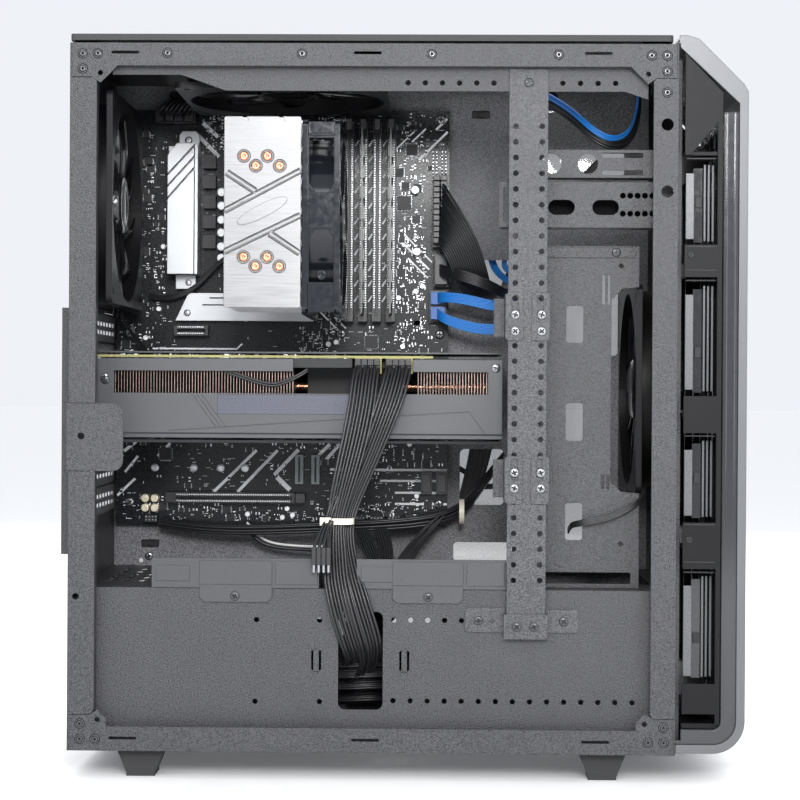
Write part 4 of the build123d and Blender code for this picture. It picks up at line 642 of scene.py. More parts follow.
# Side of the cooler's fan ---------------------------------------------------------------------
guard = Shape()
DEEP = (25.3, 26.6)
guard.block((152.1, 154.4), DEEP, (287, 413))
guard.block((171.2, 172.6), DEEP, (287, 413))
guard.block((152.1, 172.6), DEEP, (402, 413))
guard.block((152.1, 172.6), DEEP, (287, 306.8))
guard.prism([(154.4, 342.5), (171.2, 342.5), (171.2, 366.2), (154.4, 366.2)], 25.3, 30.0)
for x, flip in ((154.4, 1), (171.2, -1)):
    guard.prism([(x, 366.2), (x + flip * 4.2, 366.2), (x, 373)], DEEP[0], DEEP[1])
    guard.prism([(x, 342.5), (x + flip * 4.2, 342.5), (x, 335.5)], DEEP[0], DEEP[1])
guard.block((154.4, 171.2), (24.9, 25.6), (403.6, 405.2))
guard.turned((162.8, 25.3, 311.5), (0, -1, 0), [(0, 0.1), (1.2, 0.1), (1.5, 0.8), (3.1, 0.8), (3.4, -0.1)],
             24)
guard.make("cpu_fan_side", [smoke], "case", "cpu_fan_frame", bevel=0.5)

# Cooler ---------------------------------------------------------------------------------------
fins = Shape()
for k in range(50):
    y = 24.0 + k * 2.1
    edge_points = []
    for side, sign in ((99.0, 1), (148.7, -1)):
        steps = 24
        run = range(steps + 1) if sign > 0 else range(steps, -1, -1)
        for i in run:
            z = 290.3 + (415.0 - 290.3) * i / steps
            edge_points.append((side + sign * (1.3 if i % 2 else 0.0), z))
    fins.prism(edge_points, y, y + 0.45)
fins.block((103.6, 143.9), (160.6, 172.5), (336.3, 369.4), 1)
for z in (293.0, 412.0):
    for x in (107.0, 140.0):
        fins.block((x - 1.5, x + 1.5), (23.2, 128.0), (z - 0.8, z + 0.8))
fins.make("cooler_fins", [fin_metal, steel], "case", "cooler_heatsink", ("cooler_heatsink",))

relief = Shape()


def ridge(start, end, width=5.0, height=1.0, face=21.02):
    along = (Vector(end) - Vector(start)).normalized()
    side = Vector((-along.y, along.x)) * width / 2
    a, b = Vector(start), Vector(end)
    points = []
    for end_point in (a, b):
        for offset, lift in ((-side, 0), (-side * 0.25, height), (side * 0.25, height), (side, 0)):
            spot = end_point + offset
            points.append((min(149.1, max(98.6, spot.x)), face - lift, spot.y))
    relief.add(points, [(0, 1, 5, 4), (1, 2, 6, 5), (2, 3, 7, 6), (0, 3, 2, 1), (4, 5, 6, 7), (0, 4, 7, 3)])


for start, end in (((98.6, 353.4), (149.1, 379.8)), ((98.6, 326.4), (149.1, 350.4)),
                   ((100.2, 378.6), (119.2, 366.2)), ((128.6, 338.6), (148.8, 325.6))):
    ridge(start, end)
pad = []
for k in range(40):
    a = 2 * math.pi * k / 40
    x, z = 15.5 * math.cos(a), 4.4 * math.sin(a)
    x += 3.0 if math.cos(a) > 0 else -3.0
    c, s = math.cos(math.radians(27)), math.sin(math.radians(27))
    pad.append((123.8 + x * c - z * s, 353.4 + x * s + z * c))
relief.prism(pad, 20.6, 21.1)
for low, high in solids("heat_pipes"):
    for z in (low.z + 3.0, high.z - 3.0):
        relief.turned(((low.x + high.x) / 2, 21.0, z), (0, -1, 0),
                      [(3.1, 0), (3.15, 0.5), (3.5, 0.75), (4.1, 0.5), (4.6, 0)], 28)
relief.make("cooler_plate_relief", [brushed], "case", "cooler_top_plate", bevel=0.12)

tips = Shape()
for low, high in solids("heat_pipes"):
    x = (low.x + high.x) / 2
    for z in (low.z + 3.0, high.z - 3.0):
        tips.turned((x, 20.35, z), (0, -1, 0),
                    [(0, 0.1), (0.5, 0.15), (1.0, 0.75), (2.0, 0.95), (2.7, 0.6), (3.0, 0)], 24)
tips.make("pipe_tips", [copper], "case", "heat_pipes", smooth=True)

# Board ----------------------------------------------------------------------------------------
FACE = 181.8
vrm = Shape()


def slanted(x, z_left, z_right, next_left, next_right, y, mark=0):
    vrm.prism([(x[0], z_left), (x[1], z_right), (x[1], next_right), (x[0], next_left)], y[0], y[1], "y",
              mark)


TALL_COOLER = (43.5, 62.6)
slanted(TALL_COOLER, 319, 319, 373.0, 394.6, (157, 179.6))
slanted(TALL_COOLER, 374.8, 396.6, 381.8, 402.6, (157, 176))
slanted(TALL_COOLER, 383.6, 404.6, 390.2, 410.6, (157, 176))
vrm.prism([(43.5, 392.0), (62.6, 412.6), (62.6, 413.6), (50.2, 413.6), (43.5, 405.0)], 157, 176)
vrm.block(TALL_COOLER, (163, 179.6), (319, 412))
vrm.block((62.9, 65.2), (159, 179.6), (319, 413.4))
vrm.prism([(50.2, 412), (64.7, 412), (64.7, 421), (62.5, 424), (52.5, 424), (50.2, 421)], 172, 177)
vrm.block((47.6, 62.2), (175, 179.4), (309, 320))
vrm.prism([(47.4, 285.7), (57.0, 306.0), (148.8, 306.0), (148.8, 285.7)], 174.8, 177.6)
vrm.block((60, 146), (177.6, 181.7), (288, 304))
vrm.block((46, 64), (178.9, 181.7), (322, 400))
vrm.turned((56.9, 172, 417.4), (0, -1, 0), [(2.6, -0.2), (2.6, 0.5), (2.0, 1.0), (0, 1.1)], 20, 1)
vrm.turned((56.3, 174.8, 291.5), (0, -1, 0), [(2.4, -0.2), (2.4, 0.4), (1.8, 0.9), (0, 1.0)], 20, 1)
vrm.turned((57, 175, 313.5), (0, -1, 0), [(2.2, -0.2), (2.2, 0.4), (1.8, 0.9), (0, 1.0)], 20, 1)
# Thin chip-black lines across the heatsink face: painted shade standing for its grooves.
for z, x0 in ((302.5, 72.4), (297.4, 67.3)):
    vrm.block((x0, 98), (174.65, 174.9), (z - 0.45, z + 0.45), 2)
vrm.make("board_coolers", [white_metal, steel, chip], "case", "board_heatsinks", ("board_heatsinks",),
         bevel=0.25)

ink = Shape()
STRIPES = [
    ((107.0, 191.0), (75.6, 160.3), 2.2), ((122.5, 191.1), (93.2, 160.4), 2.2),
    ((137.9, 191.7), (120.0, 173.0), 2.6), ((43.4, 195.7), (34.1, 186.3), 2.0),
    ((17.7, 169.7), (4.6, 157.2), 1.8), ((19.5, 198.0), (9.3, 189.8), 2.4),
    ((19.6, 186.2), (10.1, 174.4), 1.8), ((160.9, 195.9), (150.7, 185.6), 2.4),
    ((168.3, 196.0), (158.0, 184.2), 2.4), ((122.1, 171.4), (131.7, 162.0), 3.4),
    ((161.0, 177.2), (247.0, 177.2), 1.8), ((197.8, 169.2), (247.0, 169.2), 1.6),
    ((208.9, 160.5), (247.0, 160.5), 1.6), ((208.9, 152.3), (247.0, 152.3), 1.6),
    ((66.2, 431.2), (77.3, 421.0), 2.8), ((61.8, 423.1), (78.1, 406.3), 2.8),
    ((237.4, 426.7), (245.6, 434.8), 1.6), ((219.8, 417.8), (230.1, 427.6), 1.2),
    ((225.0, 404.6), (246.0, 425.3), 1.6), ((196.4, 400.9), (222.0, 426.0), 1.0),
    ((211.4, 353.3), (235.0, 329.7), 1.0), ((211.4, 345.9), (233.0, 324.3), 1.4),
    ((217.5, 332.6), (232.0, 318.1), 1.0), ((30.0, 265.4), (92.0, 265.4), 1.2),
    ((92.0, 265.4), (96.0, 269.2), 1.2), ((150, 296), (168, 278), 1.2), ((153, 300), (172, 281), 1.2),
]
for start, end, width in STRIPES:
    ink.bar(start, end, width, (FACE - 0.12, FACE + 0.02))
for gap in (179.6, 189.8, 200.0):
    for k in range(11):
        z = 300.5 + k * 11.4
        ink.bar((gap - 1.4, z), (gap + 1.5, z + 4.6), 1.1, (FACE - 0.12, FACE + 0.02))
chance = random.Random(7)
for k in range(620):
    x, z = chance.uniform(6, 241), chance.uniform(139, 438)
    length, tall = chance.choice(((2.4, 0.35), (1.2, 0.35), (0.35, 1.8), (3.6, 0.3)))
    ink.block((x, x + length), (FACE - 0.1, FACE + 0.02), (z, z + tall))
ink.make("board_markings", [white_ink], "case", "motherboard")

KEEP_CLEAR = [
    ((40, 68), (300, 430)), ((95, 152), (285, 420)), ((168, 210), (282, 434)), ((44, 150), (283, 308)),
    ((3, 24), (288, 426)), ((230, 248), (283, 395)), ((40, 145), (151, 162)), ((3, 240), (236, 262)),
    ((56, 90), (320, 412)), ((28, 66), (427, 440)), ((132, 156), (164, 190)), ((40, 138), (253, 283)),
]


def free(x, z):
    for across, tall in KEEP_CLEAR:
        if across[0] < x < across[1] and tall[0] < z < tall[1]:
            return False
    return True


small = Shape()
for k in range(1900):
    x, z = chance.uniform(7, 244), chance.uniform(140, 437)
    if k % 3:
        x, z = chance.choice(((chance.uniform(6, 42), chance.uniform(250, 425)),
                              (chance.uniform(208, 232), chance.uniform(300, 432)),
                              (chance.uniform(20, 240), chance.uniform(139, 152)),
                              (chance.uniform(60, 160), chance.uniform(262, 284)),
                              (chance.uniform(208, 232), chance.uniform(262, 350)),
                              (chance.uniform(66, 100), chance.uniform(400, 436)),
                              (chance.uniform(150, 170), chance.uniform(262, 435)),
                              (chance.uniform(120, 240), chance.uniform(150, 236))))
    if not free(x, z):
        continue
    kind = chance.random()
    if kind < 0.62:
        long, short = (1.7, 0.9) if chance.random() < 0.7 else (3.0, 1.6)
        if chance.random() < 0.5:
            long, short = short, long
        y = (FACE - chance.uniform(0.5, 0.9), FACE)
        small.block((x - long / 2, x + long / 2), y, (z - short / 2, z + short / 2), 0)
        for sign in (-1, 1):
            if long > short:
                spot = x + sign * long * 0.4
                across = (spot - long * 0.12, spot + long * 0.12)
                tall = (z - short / 2 - 0.05, z + short / 2 + 0.05)
            else:
                spot = z + sign * short * 0.4
                across = (x - long / 2 - 0.05, x + long / 2 + 0.05)
                tall = (spot - short * 0.12, spot + short * 0.12)
            small.block(across, (y[0] - 0.05, FACE), tall, 1)
    elif kind < 0.72:
        size = chance.choice((3.2, 4.4, 6.0))
        small.block((x - size / 2, x + size / 2), (FACE - 1.0, FACE), (z - size / 2, z + size / 2), 0)
        legs = int(size / 0.9)
        for i in range(legs):
            spot = z - size / 2 + 0.5 + i * 0.9
            small.block((x - size / 2 - 0.7, x + size / 2 + 0.7), (FACE - 0.3, FACE),
                        (spot - 0.16, spot + 0.16), 1)
    elif kind < 0.985:
        small.turned((x, FACE, z), (0, -1, 0), [(0.45, -0.01), (0.4, 0.12), (0, 0.16)], 8, 1)
    else:
        small.turned((x, FACE, z), (0, -1, 0), [(1.9, -0.05), (1.9, 2.4), (1.6, 2.7), (0, 2.7)], 18, 2)
small.make("board_small_parts", [chip, solder, white_cap], "case", "board_components")

parts = Shape()
for low, high in solids("board_components"):
    size = high - low
    x, z = (low.x + high.x) / 2, (low.z + high.z) / 2
    tall = size.y
    if 9 < size.x < 11 and 9 < size.z < 11 and tall > 6:
        parts.block((low.x + 0.2, high.x - 0.2), (low.y, FACE), (low.z + 0.2, high.z - 0.2), 1)
        parts.block((low.x + 2.4, high.x - 2.4), (low.y - 0.1, FACE), (low.z + 3.4, high.z - 3.4), 1)
    elif size.z > 20:
        parts.block((low.x, high.x), (low.y, FACE), (low.z, high.z), 5)
        parts.block((low.x + 2.3, high.x - 2.3), (low.y - 0.2, FACE), (low.z + 1.4, high.z - 1.4), 0)
    elif tall < 2:
        parts.block((low.x, high.x), (low.y, FACE), (low.z, high.z), 0)
        for i in range(int(size.z / 1.1)):
            spot = low.z + 0.6 + i * 1.1
            parts.block((low.x - 0.9, high.x + 0.9), (FACE - 0.35, FACE), (spot - 0.2, spot + 0.2), 4)
        for i in range(int(size.x / 1.1)):
            spot = low.x + 0.6 + i * 1.1
            parts.block((spot - 0.2, spot + 0.2), (FACE - 0.35, FACE), (low.z - 0.9, high.z + 0.9), 4)
    elif tall < 3:
        parts.turned((x, FACE, z), (0, -1, 0),
                     [(2.9, -0.01), (2.9, 0.4), (2.3, 0.5), (2.3, 2.4), (1.4, 2.5), (1.3, 1.6), (0, 1.6)],
                     24, 4)
    else:
        radius = size.x / 2
        gold_top = x < 40 and z < 160
        parts.turned((x, FACE, z), (0, -1, 0),
                     [(radius - 0.1, -0.01), (radius, 0.8), (radius - 0.3, 1.3), (radius, 1.8),
                      (radius, tall - 0.5), (radius - 0.4, tall), (0, tall)], 28, 3 if gold_top else 2)
parts.make("board_parts", [chip, choke, white_cap, gold, solder, tie_grey], "case", "board_components",
           ("board_components",), bevel=0.15)

slots = Shape()
SLOT_X = (174.5, 184.7, 194.9, 205.1)
for x in SLOT_X:
    for k in range(72):
        z = 296.0 + k * 1.72
        for side in (-1.9, 1.9):
            slots.block((x + side - 0.55, x + side + 0.55), (173.05, 173.4), (z - 0.3, z + 0.3))
for z, end in ((258.4, 134), (278.72, 70), (156.48, 134)):
    for k in range(int((end - 50) / 1.3)):
        x = 50 + k * 1.3
        for side in (-2.3, 2.3):
            slots.block((x - 0.3, x + 0.3), (170.6, 170.9), (z + side - 0.5, z + side + 0.5))
slots.make("slot_contacts", [solder], "case", "dimm_slots")

heads = Shape()
for row in range(2):
    for k in range(12):
        x, z = 236.0 + row * 5.2, 342.4 + k * 4.1
        heads.block((x, x + 4.4), (158.5, 169.4), (z, z + 3.6), 0)
heads.block((237.2, 246.2), (162.0, 172.9), (312.5, 334.0), 0)
heads.block((233.8, 245.2), (171.0, 181.7), (286.2, 308.3), 1)
for z in (298.2, 287.3):
    heads.block((234.4, 244.6), (165.0, 171.2), (z, z + 9.0), 1)
for x0 in (184.4, 205.4):
    for row in range(2):
        for k in range(4):
            x, z = x0 + k * 4.25, 247.2 + row * 5.0
            heads.block((x, x + 3.9), (48.5, 59.4), (z, z + 4.6), 0)
for k in range(4):
    heads.block((34.0 + k * 7.0, 40.0 + k * 7.0), (160.5, 169.6), (430.2, 438.0), 0)
for x in (228.0, 239.0):
    heads.block((x + 1, x + 7), (172.0, 174.0), (161.5, 174.5), 0)
heads.make("lead_plugs", [socket_black, socket_blue], "case", "board_connectors", bevel=0.25)

pins = Shape()
for x0 in (165.0, 178.0, 191.0, 204.0, 217.0, 26.0):
    for i in range(4):
        for j in range(2):
            x, z = x0 + 0.8 + i * 2.4, 139.6 + j * 2.4
            pins.block((x, x + 0.6), (172.2, 174.0), (z, z + 0.6))
for x0 in (234.6, 241.2):
    for i in range(2):
        for k in range(9):
            x, z = x0 + 0.6 + i * 2.5, 389.4 + k * 2.5
            pins.block((x, x + 0.8), (174.0, 181.7), (z, z + 0.8))
pins.make("header_pins", [solder], "case", "board_connectors")

# Graphics card --------------------------------------------------------------------------------
card = Shape()
FIN_PITCH = 2.0
# Fin sides in near-black painted shade, front edges in fin metal (mark 3).
for start, end in ((22.2, 142.8), (226.7, 273.8)):
    for k in range(int((end - start) / FIN_PITCH) + 1):
        x = start + k * FIN_PITCH
        card.block((x, x + 0.35), (54.9, 165.8), (214.7, 251.2))
        card.block((x, x + 0.35), (54.2, 54.9), (214.7, 251.2), 3)
for start, end in ((22.0, 182.2), (224.8, 274.0)):
    card.block((start, end), (54.0, 166.0), (250.6, 256.8), 1)
card.block((150, 216), (92, 166), (214.5, 250.5), 1)
card.block((182.6, 224.4), (78, 166), (250.6, 256.8), 1)
for y in (96, 118, 140):
    for start, end in ((22.0, 150.2), (215.8, 274.0)):
        card.turned((start, y, 238), (1, 0, 0), [(0, 0), (3, 0), (3, end - start), (0, end - start)], 18, 2)
card.make("card_fins", [card_fin_painted_shade, chip, copper, fin_edge], "case", "gpu_heatsink", ("gpu_heatsink",))

trim = Shape()
trim.block((91.95, 183.65), (50.02, 50.42), (219.15, 232.05), 0)
trim.make("card_label", [label], "case", "gpu_covers")
card_screws = Shape()
for x, z in ((15.5, 243.5), (278.2, 251.0)):
    card_screws.add([Vector((x, 50.1, z)) + Vector((p[0] * 2.6, -p[2] * 1.6, p[1] * 2.6)) for p in HEAD[0]],
                    HEAD[1])
card_screws.make("card_screws", [steel], "case", "gpu_covers", smooth=True)

board = Shape()
for k in range(120):
    x = 12 + chance.uniform(0, 220)
    if 180 < x < 226:
        continue
    y = chance.uniform(66.3, 74)
    size = chance.choice((1.0, 1.6, 3.0))
    board.block((x, x + size), (y, y + 1.2), (258.85, 258.9 + chance.uniform(0.4, 1.0)),
                0 if chance.random() < 0.5 else 1)
    board.block((x, x + size), (y, y + 1.2), (256.95, 257.35), 1)
for k in range(17):
    x = 52.5 + k * 4.7
    board.block((x, x + 3.6), (169.6, 177.2), (257.2, 258.98), 2)
board.make("card_parts", [chip, solder, gold], "case", "gpu_board")

# Bezel ----------------------------------------------------------------------------------------
inner = Shape()
for y in (14, 24, 33, 48, 57, 72, 84, 96, 110, 126, 141, 158, 174, 190):
    deep = 423.9 if y in (24, 48, 72, 110, 158) else 428.0
    inner.block((deep, 433.9), (y, y + 1.8), (33, 413))
for z in (60, 92, 134, 176, 214, 256, 296, 338, 372):
    inner.block((426.5, 433.9), (12, 200), (z, z + 1.6))
inner.make("front_panel_ribs", [strip], "front", "front_panel", bevel=0.2)

side = Shape()
GAPS = ((47.5, 119.5), (152, 208), (234, 309), (332, 388))
for low_z, high_z in GAPS:
    for y, step in ((9.0, 1), (203.0, -1)):
        side.block((400.8, 406.2), sorted((y, y + step * 1.2)), (low_z + 3, high_z - 10), 1)
        side.block((406.4, 412.6), sorted((y + step * 6, y + step * 7.2)), (low_z + 1, high_z - 6), 0)
        side.block((407.6, 411.8), sorted((y + step * 4.4, y + step * 6)), (low_z + 24, low_z + 31), 2)
        for x in (412.8, 415.6, 418.6):
            side.block((x, x + 1.5), sorted((y + step * (x - 408) * 0.7, y + step * ((x - 408) * 0.7 + 1.4))),
                       (low_z + 2, high_z - 4), 1)
        # A thin chip-black band at the top of each gap: painted shade under the rib above.
        side.block((400.6, 420.4), sorted((y - step * 4.4, y + step * 3)), (high_z - 1.4, high_z - 0.4), 2)
for low_z, high_z in ((310.0, 331.0), (121.0, 151.0)):
    for y, step in ((1.0, -1), (211.0, 1)):
        middle = (low_z + high_z) / 2 + 4
        side.turned((403.6, y, middle), (0, step, 0),
                    [(2.3, -0.2), (2.3, 0.3), (1.7, 0.7), (0.8, 0.7), (0.7, 0.2), (0, 0.2)], 20, 2)
        # The upper chip-black band on each rib is painted shade along its top.
        side.block((400.2, 420.2), sorted((y, y + step * 0.5)), (high_z - 1.8, high_z - 0.6), 2)
        side.block((400.2, 420.2), sorted((y, y + step * 0.5)), (low_z + 4, low_z + 5), 2)
side.make("bezel_inner_strips", [gloss, strip_light, chip], "front", "bezel_frame", bevel=0.25)

for number, (x, radius) in enumerate(((426.4, 2.1), (431.6, 2.5))):
    for y, word in ((0.4 + radius, "near"), (211.6 - radius, "far")):
        curve = round_curve(f"strip_tube_{word}_{number + 1}", radius, 5, strip)
        smooth_line(curve, [(x, y, 416.4), (x, y, 300), (x, y, 150), (x, y, 455 - x)], 3)
        place_curve(curve, "front")

# A near-black sheet behind the drive rails: painted shade where the space behind them lies in shadow.
rail_shade_sheet = Shape()
rail_shade_sheet.block((289.4, 393.2), (37.0, 37.8), (344.6, 371.6), 0)
rail_shade_sheet.make("drive_rail_painted_shade", [painted_shade_black], "case", "drive_rails")
bridges = Shape()
for x, z in ((263.8, 436.0), (21.0, 118.4)):
    bridges.block((x - 1.5, x + 15), (193.4, 194.2), (z - 1.5, z + 7.5), 0)
    bridges.block((x + 4.5, x + 9), (191.2, 193.6), (z + 1.5, z + 4.5), 0)
bridges.make("tray_bridges", [chip], "case", "motherboard_tray", bevel=0.2)

# Leads ----------------------------------------------------------------------------------------
def ribbon(name, route, strands, radius, material):
    """Strands that run side by side along a route.

    Each row of the route is a point and the side step of its outermost strand, and each strand is
    its share of that step and of a step at right angles to it.
    """
    spots = [Vector(row[:3]) for row in route]
    curve = round_curve(name, radius, 3, material)
    curve.resolution_u = 10
    for share, lift in strands:
        points = []
        for i, row in enumerate(route):
            before = spots[max(0, i - 1)]
            after = spots[min(len(spots) - 1, i + 1)]
            along = (after - before).normalized()
            side = Vector(row[3:6])
            across = along.cross(side.normalized()) if side.length else Vector((0, 0, 0))
            points.append(spots[i] + side * share + across * lift)
        smooth_line(curve, points, 4)
    return place_curve(curve, "case")


def upright(rows, step=None):
    """Rows for a route whose side step points straight up, as one step or as each row's last number."""
    return [(*row[:3], 0, 0, row[3] if step is None else step) for row in rows]


def flat(count, wave=0.0):
    return [(-1 + 2 * k / (count - 1), wave * math.sin(k * 2.4)) for k in range(count)]


def round_bundle(count, spread):
    found = [(0.0, 0.0)]
    for k in range(count - 1):
        a = 2 * math.pi * k / (count - 1)
        found.append((math.cos(a), spread * math.sin(a)))
    return found


supply = ribbon("supply_ribbon", [
    (241, 165, 366, 0, 0, 22), (242, 152, 362, 2, 0, 20), (248, 143, 352, 7, 0, 13),
    (257, 142, 337, 10, 0, 7), (263, 145, 320, 11, 0, 3), (268, 152, 305, 10, 1, 1),
    (275, 172, 302, 8, 1, 3), (277, 192, 314, 4, 0, 3), (279, 202, 298, 5, 0, 0),
    (279, 202, 262, 8, 0, 0), (277, 202, 225, 8, 0, 0), (272, 201, 188, 8, 0, 2),
    (262, 201, 152, 7, 0, 3), (246, 199, 118, 6, 0, 4), (226, 194, 88, 6, 0, 4),
    (206, 180, 64, 4, 0, 4), (186, 162, 52, 0, 2, 4), (170, 152, 48, 0, 2, 4),
    (153, 152, 48, 0, 2, 4)], flat(16, 0.35), 0.85, lead_black)
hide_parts("leads")
ribbon("card_ribbon_left", [
    (192.5, 49, 251, 7.6, 0, 0), (192, 40, 248, 8, 0, 0), (191, 34, 236, 8.2, 0, 0),
    (189, 30, 220, 8.2, 0, 0), (184, 26, 196, 8, 0, 0), (178, 23, 172, 7, 0, 0),
    (172.4, 22.4, 149, 4.8, 0, 0), (173, 18, 132, 6.8, 0, 0), (174, 9, 112, 7.4, 0, 0),
    (179, 5, 92, 8, 0, 0), (185, 7, 72, 8, 0, 0), (189, 19, 58, 7, 2, 0), (182, 38, 52, 3, 5, 0),
    (168, 54, 49, 0, 6, 0), (152.4, 54, 49, 0, 6, 0)], flat(8, 0.9), 1.05, lead_black)
ribbon("card_ribbon_right", [
    (213.6, 49, 251, 7.6, 0, 0), (213.4, 40, 248, 8, 0, 0), (211, 34, 236, 8.4, 0, 0),
    (205, 30, 218, 8.4, 0, 2), (196, 29, 194, 7.6, 0, 2), (186, 28.5, 170, 6.6, 0, 1),
    (178.4, 27.2, 149, 4.8, 0, 0), (179, 21, 130, 6.6, 0, 0), (184, 10, 110, 7.6, 0, 0),
    (190, 6, 90, 8.4, 0, 0), (196, 9, 72, 8, 0, 0), (198, 24, 55, 6, 2, 0), (189, 44, 42, 3, 5, 0),
    (172, 66, 34, 0, 6, 0), (152.4, 66, 34, 0, 6, 0)], flat(8, 0.9), 1.05, lead_black)
ribbon("usb_lead", [
    (241, 163, 323, 0, 0, 3.4), (243, 154, 322, 0, 0, 3.4), (250, 143, 320, 0, 0, 3.4),
    (262, 137, 316, 0, 0, 3.4), (276, 138, 311, 0, 0, 3.2), (286, 148, 306, 1, 0, 2.6),
    (290, 168, 306, 2, 0, 2), (288, 190, 310, 2, 0, 1), (291, 203, 318, 3, 0, 1),
    (302, 207.5, 342, 3, 0, 0), (330, 207.5, 378, 3, 0, 0), (361, 205, 408, 3, 0, 0)], flat(6), 0.95,
       lead_black)
ribbon("data_ribbon_upper", [
    (239.5, 166, 303, 0, 0, 3), (241, 158, 303, 0, 0, 3), (249, 154, 303, 0, 0, 3),
    (262, 152, 301, 0, 0, 3.2), (277, 151, 297, 0, 0, 3.2), (291, 152, 296, 0, 0, 3),
    (300, 158, 303, 1, 0, 2), (301, 168, 314, 1, 0, 2), (295, 181, 323, 1, 0, 2),
    (288, 192, 326, 1, 0, 1.5), (288, 203, 336, 2, 0, 1), (304, 206, 362, 2, 0, 0),
    (326, 206, 388, 2, 0, 0)], flat(7), 0.62, lead_blue)
ribbon("data_ribbon_lower", [
    (239.5, 166, 292, 0, 0, 3), (240, 158, 290, 0, 0, 3), (247, 155, 286, 0, 0, 3.2),
    (260, 153, 282, 0, 0, 3.2), (275, 151, 279, 0, 0, 3.2), (289, 151, 281, 0, 0, 3),
    (300, 156, 289, 1, 0, 2), (305, 166, 300, 1, 0, 2), (300, 179, 311, 1, 0, 2),
    (290, 191.5, 317.5, 1, 0, 1.5), (281, 202, 325, 2, 0, 1), (276, 206, 345, 2, 0, 0),
    (280, 206, 372, 2, 0, 0), (292, 206, 398, 2, 0, 0)], flat(7), 0.62, lead_blue)
ribbon("front_bundle", upright([
    (38, 172.6, 138, 2.4), (60, 168, 134.5, 2.6), (88, 165, 133, 2.6), (120, 163, 134, 2.8),
    (152, 162, 135.5, 3), (186, 162, 137, 3), (220, 163, 139, 3.2), (246, 166, 143, 3.4),
    (262, 174, 153, 3.2), (270, 190, 162, 3), (280, 203, 176, 2.6), (300, 206, 200, 2.4),
    (322, 206, 226, 2.4)]), round_bundle(8, 2.4), 1.25, lead_black)
ribbon("processor_ribbon", [
    (49, 161, 434, 10, 0, 0), (49, 154, 435, 12, 0, 0), (53, 152, 440, 12, 0, 0),
    (60, 158, 447, 11, 0, 0), (63, 176, 450, 9, 0, 0), (66, 196, 450, 8, 0, 0),
    (72, 203, 436, 7, 0, 0), (78, 203, 400, 7, 0, 0), (84, 203, 350, 7, 0, 0), (92, 203, 290, 7, 0, 0),
    (104, 203, 230, 7, 0, 0), (116, 203, 176, 6, 0, 2), (130, 203, 130, 6, 0, 2),
    (146, 201, 97, 4, 0, 3), (160, 190, 76, 3, 0, 3), (168, 174, 66, 0, 2, 3), (164, 162, 64, 0, 2, 3),
    (152.4, 162, 64, 0, 2, 3)], flat(8, 0.3), 1.05, lead_black)
ribbon("rear_fan_lead", upright([
    (12, 147.5, 289.5), (14, 151, 283), (18.5, 158, 275.5), (24, 166, 268), (29, 172, 261),
    (33, 174.5, 252)], 0.9), flat(3), 0.7, lead_black)
ribbon("cooler_fan_lead", upright([
    (98, 168, 338), (86, 169, 333), (76, 171, 325), (68, 172, 315), (58.4, 172, 307.5),
    (48.2, 172, 302.6), (38, 173.5, 301.6), (28, 176, 303.5)], 1.3), flat(4), 0.7, lead_black)
ribbon("front_fan_lead", upright([
    (377.5, 41, 169.5, 1), (378, 33, 168, 1.3), (374.5, 25, 163.5, 1.5), (363, 23.6, 156.5, 1.5),
    (351, 22.8, 151.5, 1.5), (335, 22.2, 149, 1.5), (329.5, 30, 147.5, 1.4),
    (328.8, 40, 145.5, 1.3), (328.5, 53, 142, 1.3)]), flat(4), 0.72, lead_black)
ribbon("pale_lead", upright([
    (101, 171.5, 138.5), (105.7, 171.5, 133.5), (110, 171, 128.1), (118.1, 172, 123.7),
    (132.8, 172, 121.7), (154.7, 170, 121.1), (171, 165, 122.5)], 0.1), [(0, 0)], 0.9, lead_pale)
ribbon("pale_lead_shade", upright([
    (99, 171.5, 137), (103.7, 171.5, 131.5), (108, 171, 125.8), (117.1, 172, 121.2),
    (132.8, 172, 119.2), (154.7, 170, 118.6), (171, 165, 120.0)], 0.1), [(0, 0)], 1.3, lead_black)
for name, shift in (("drop_ribbon_1", -6.0), ("drop_ribbon_2", 8.0)):
    ribbon(name, [
        (191 + shift, 160, 136, 4, 0, 0), (194.5 + shift, 161, 126, 4.6, 0, 0),
        (198 + shift * 0.7, 163, 115, 4.6, 0, 0), (200 + shift * 0.3, 164, 98, 4, 0, 0),
        (192, 158, 84, 3, 2, 0), (179, 151, 74, 0, 4, 0), (166, 147, 70, 0, 4, 0),
        (152.4, 147, 70, 0, 4, 0)], flat(6), 0.85, lead_black)
for name, shift in (("drop_ribbon_3", 0.0), ("drop_ribbon_4", -9.0)):
    ribbon(name, [
        (241 + shift * 0.4, 161, 142, 4, 0, 3), (233 + shift * 0.7, 161, 131, 3.4, 0, 3),
        (222 + shift * 0.6, 163, 118, 3.6, 0, 2), (213 + shift * 0.2, 164, 104, 4, 0, 0),
        (206, 158, 90, 4, 0, 0), (200, 146, 74, 3, 2, 0), (186, 137, 62, 0, 4, 0),
        (169, 134, 58, 0, 4, 0), (152.4, 134, 58, 0, 4, 0)], flat(6), 0.85, lead_black)
LOOP = [
    (376, 100, 457), (378, 96, 440), (377, 84, 420), (368, 72, 404.5), (355, 66, 403), (343, 67, 411),
    (333, 74, 422), (324, 96, 432), (316, 130, 442), (313, 165, 448.5), (313.5, 190, 449),
    (317, 203, 441), (322, 205, 418),
]
ribbon("front_loop_black", [(*p, 0.6, 0, 3.4) for p in LOOP], round_bundle(7, 1.6), 1.2, lead_black)
ribbon("front_loop_blue", [(p[0] - 1.0, p[1] - 2.6, p[2] + 3.2, 0.4, 0, 1.3) for p in LOOP[1:9]],
       [(-1, 0), (0, 0.8), (1, 0)], 0.75, lead_blue)
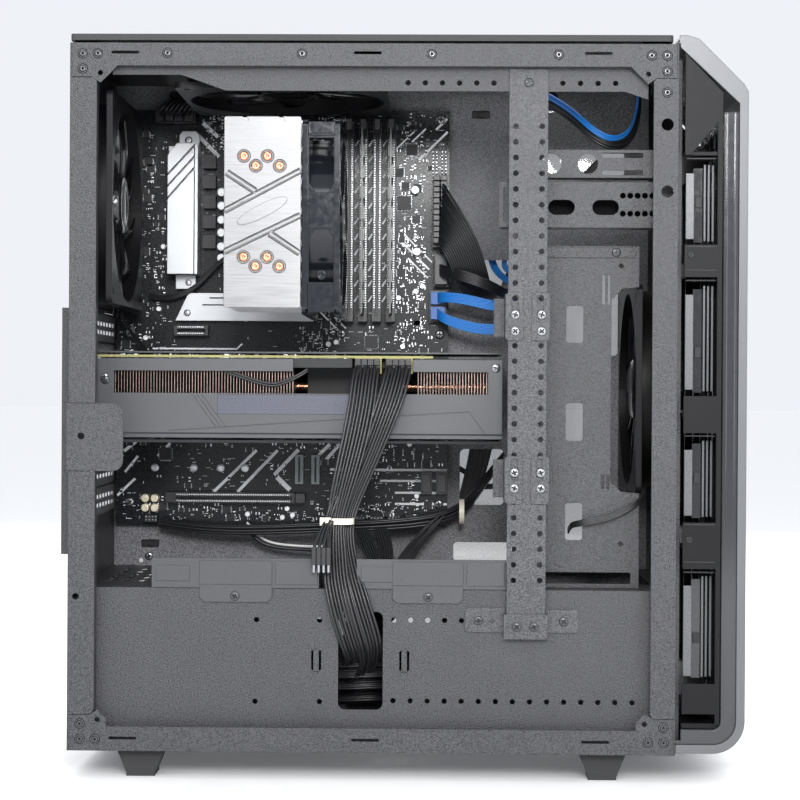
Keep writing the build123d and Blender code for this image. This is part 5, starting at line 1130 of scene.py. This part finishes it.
ribbon("cross_lead", upright([
    (244, 208.3, 181), (256.6, 208.5, 178.5), (263, 208.3, 173.5), (267, 208.5, 166),
    (277.4, 208.5, 163.1), (288.4, 208.3, 166.1), (300, 208.5, 172)], 1.3), flat(3), 0.9, lead_black)

spare = Shape()
for k in range(4):
    for row in range(2):
        y = 1.6 + row * 3.3
        spare.block((158.8 + k * 3.2, 161.6 + k * 3.2), (y, y + 2.9), (121.6, 133.0), 0)
        spare.turned((160.2 + k * 3.2, y + 1.4, 119.6), (0, 0, 1),
                     [(0, -3.2), (1.0, -2.9), (1.0, 2.4), (0, 2.4)], 14, 1)
spare.make("spare_plug", [socket_black, steel], "case", "board_connectors", bevel=0.25)
ribbon("spare_leads", [
    (165.0, 5.4, 132.6, 4.8, 0, 0), (165.6, 8.4, 138, 4.2, 0, 0), (169.0, 20.4, 149, 2.0, 0, 0),
    (172, 22.5, 160, 2.4, 0, 0), (179, 25, 178, 2.6, 0, 0), (188, 33, 204, 2.6, 0, 0),
    (196, 44, 226, 2.6, 0, 0)], flat(4, 0.8), 0.95, lead_black)
ribbon("card_wires", upright([
    (96, 53.2, 248.5), (106.7, 53.0, 244.7), (118.2, 52.9, 240.7), (129.8, 52.9, 238.1),
    (136.5, 53.0, 240.8), (146.7, 53.1, 244.9), (152, 55, 249)], 0.8), flat(2), 0.8, lead_black)
for number, (y, z) in enumerate(((34, 66), (31, 57), (37, 49), (46, 40), (60, 30))):
    ribbon(f"stowed_leads_{number + 1}", [
        (152.6, y + 14, z - 3, 0, 3, 4), (165, y + 6, z - 1, 0, 3, 4.4), (182, y, z, 0, 2, 4.6),
        (200, y + 1, z + 1, 0, 2, 4.6), (216, y + 9, z, 0, 3, 4.2), (224, y + 24, z - 2, 1, 3, 4),
        (216, y + 42, z - 4, 0, 3, 4), (196, y + 50, z - 5, 0, 3, 4), (170, y + 52, z - 5, 0, 3, 4),
        (152.6, y + 52, z - 5, 0, 3, 4)], flat(8, 0.5), 0.8, lead_black)

low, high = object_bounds()
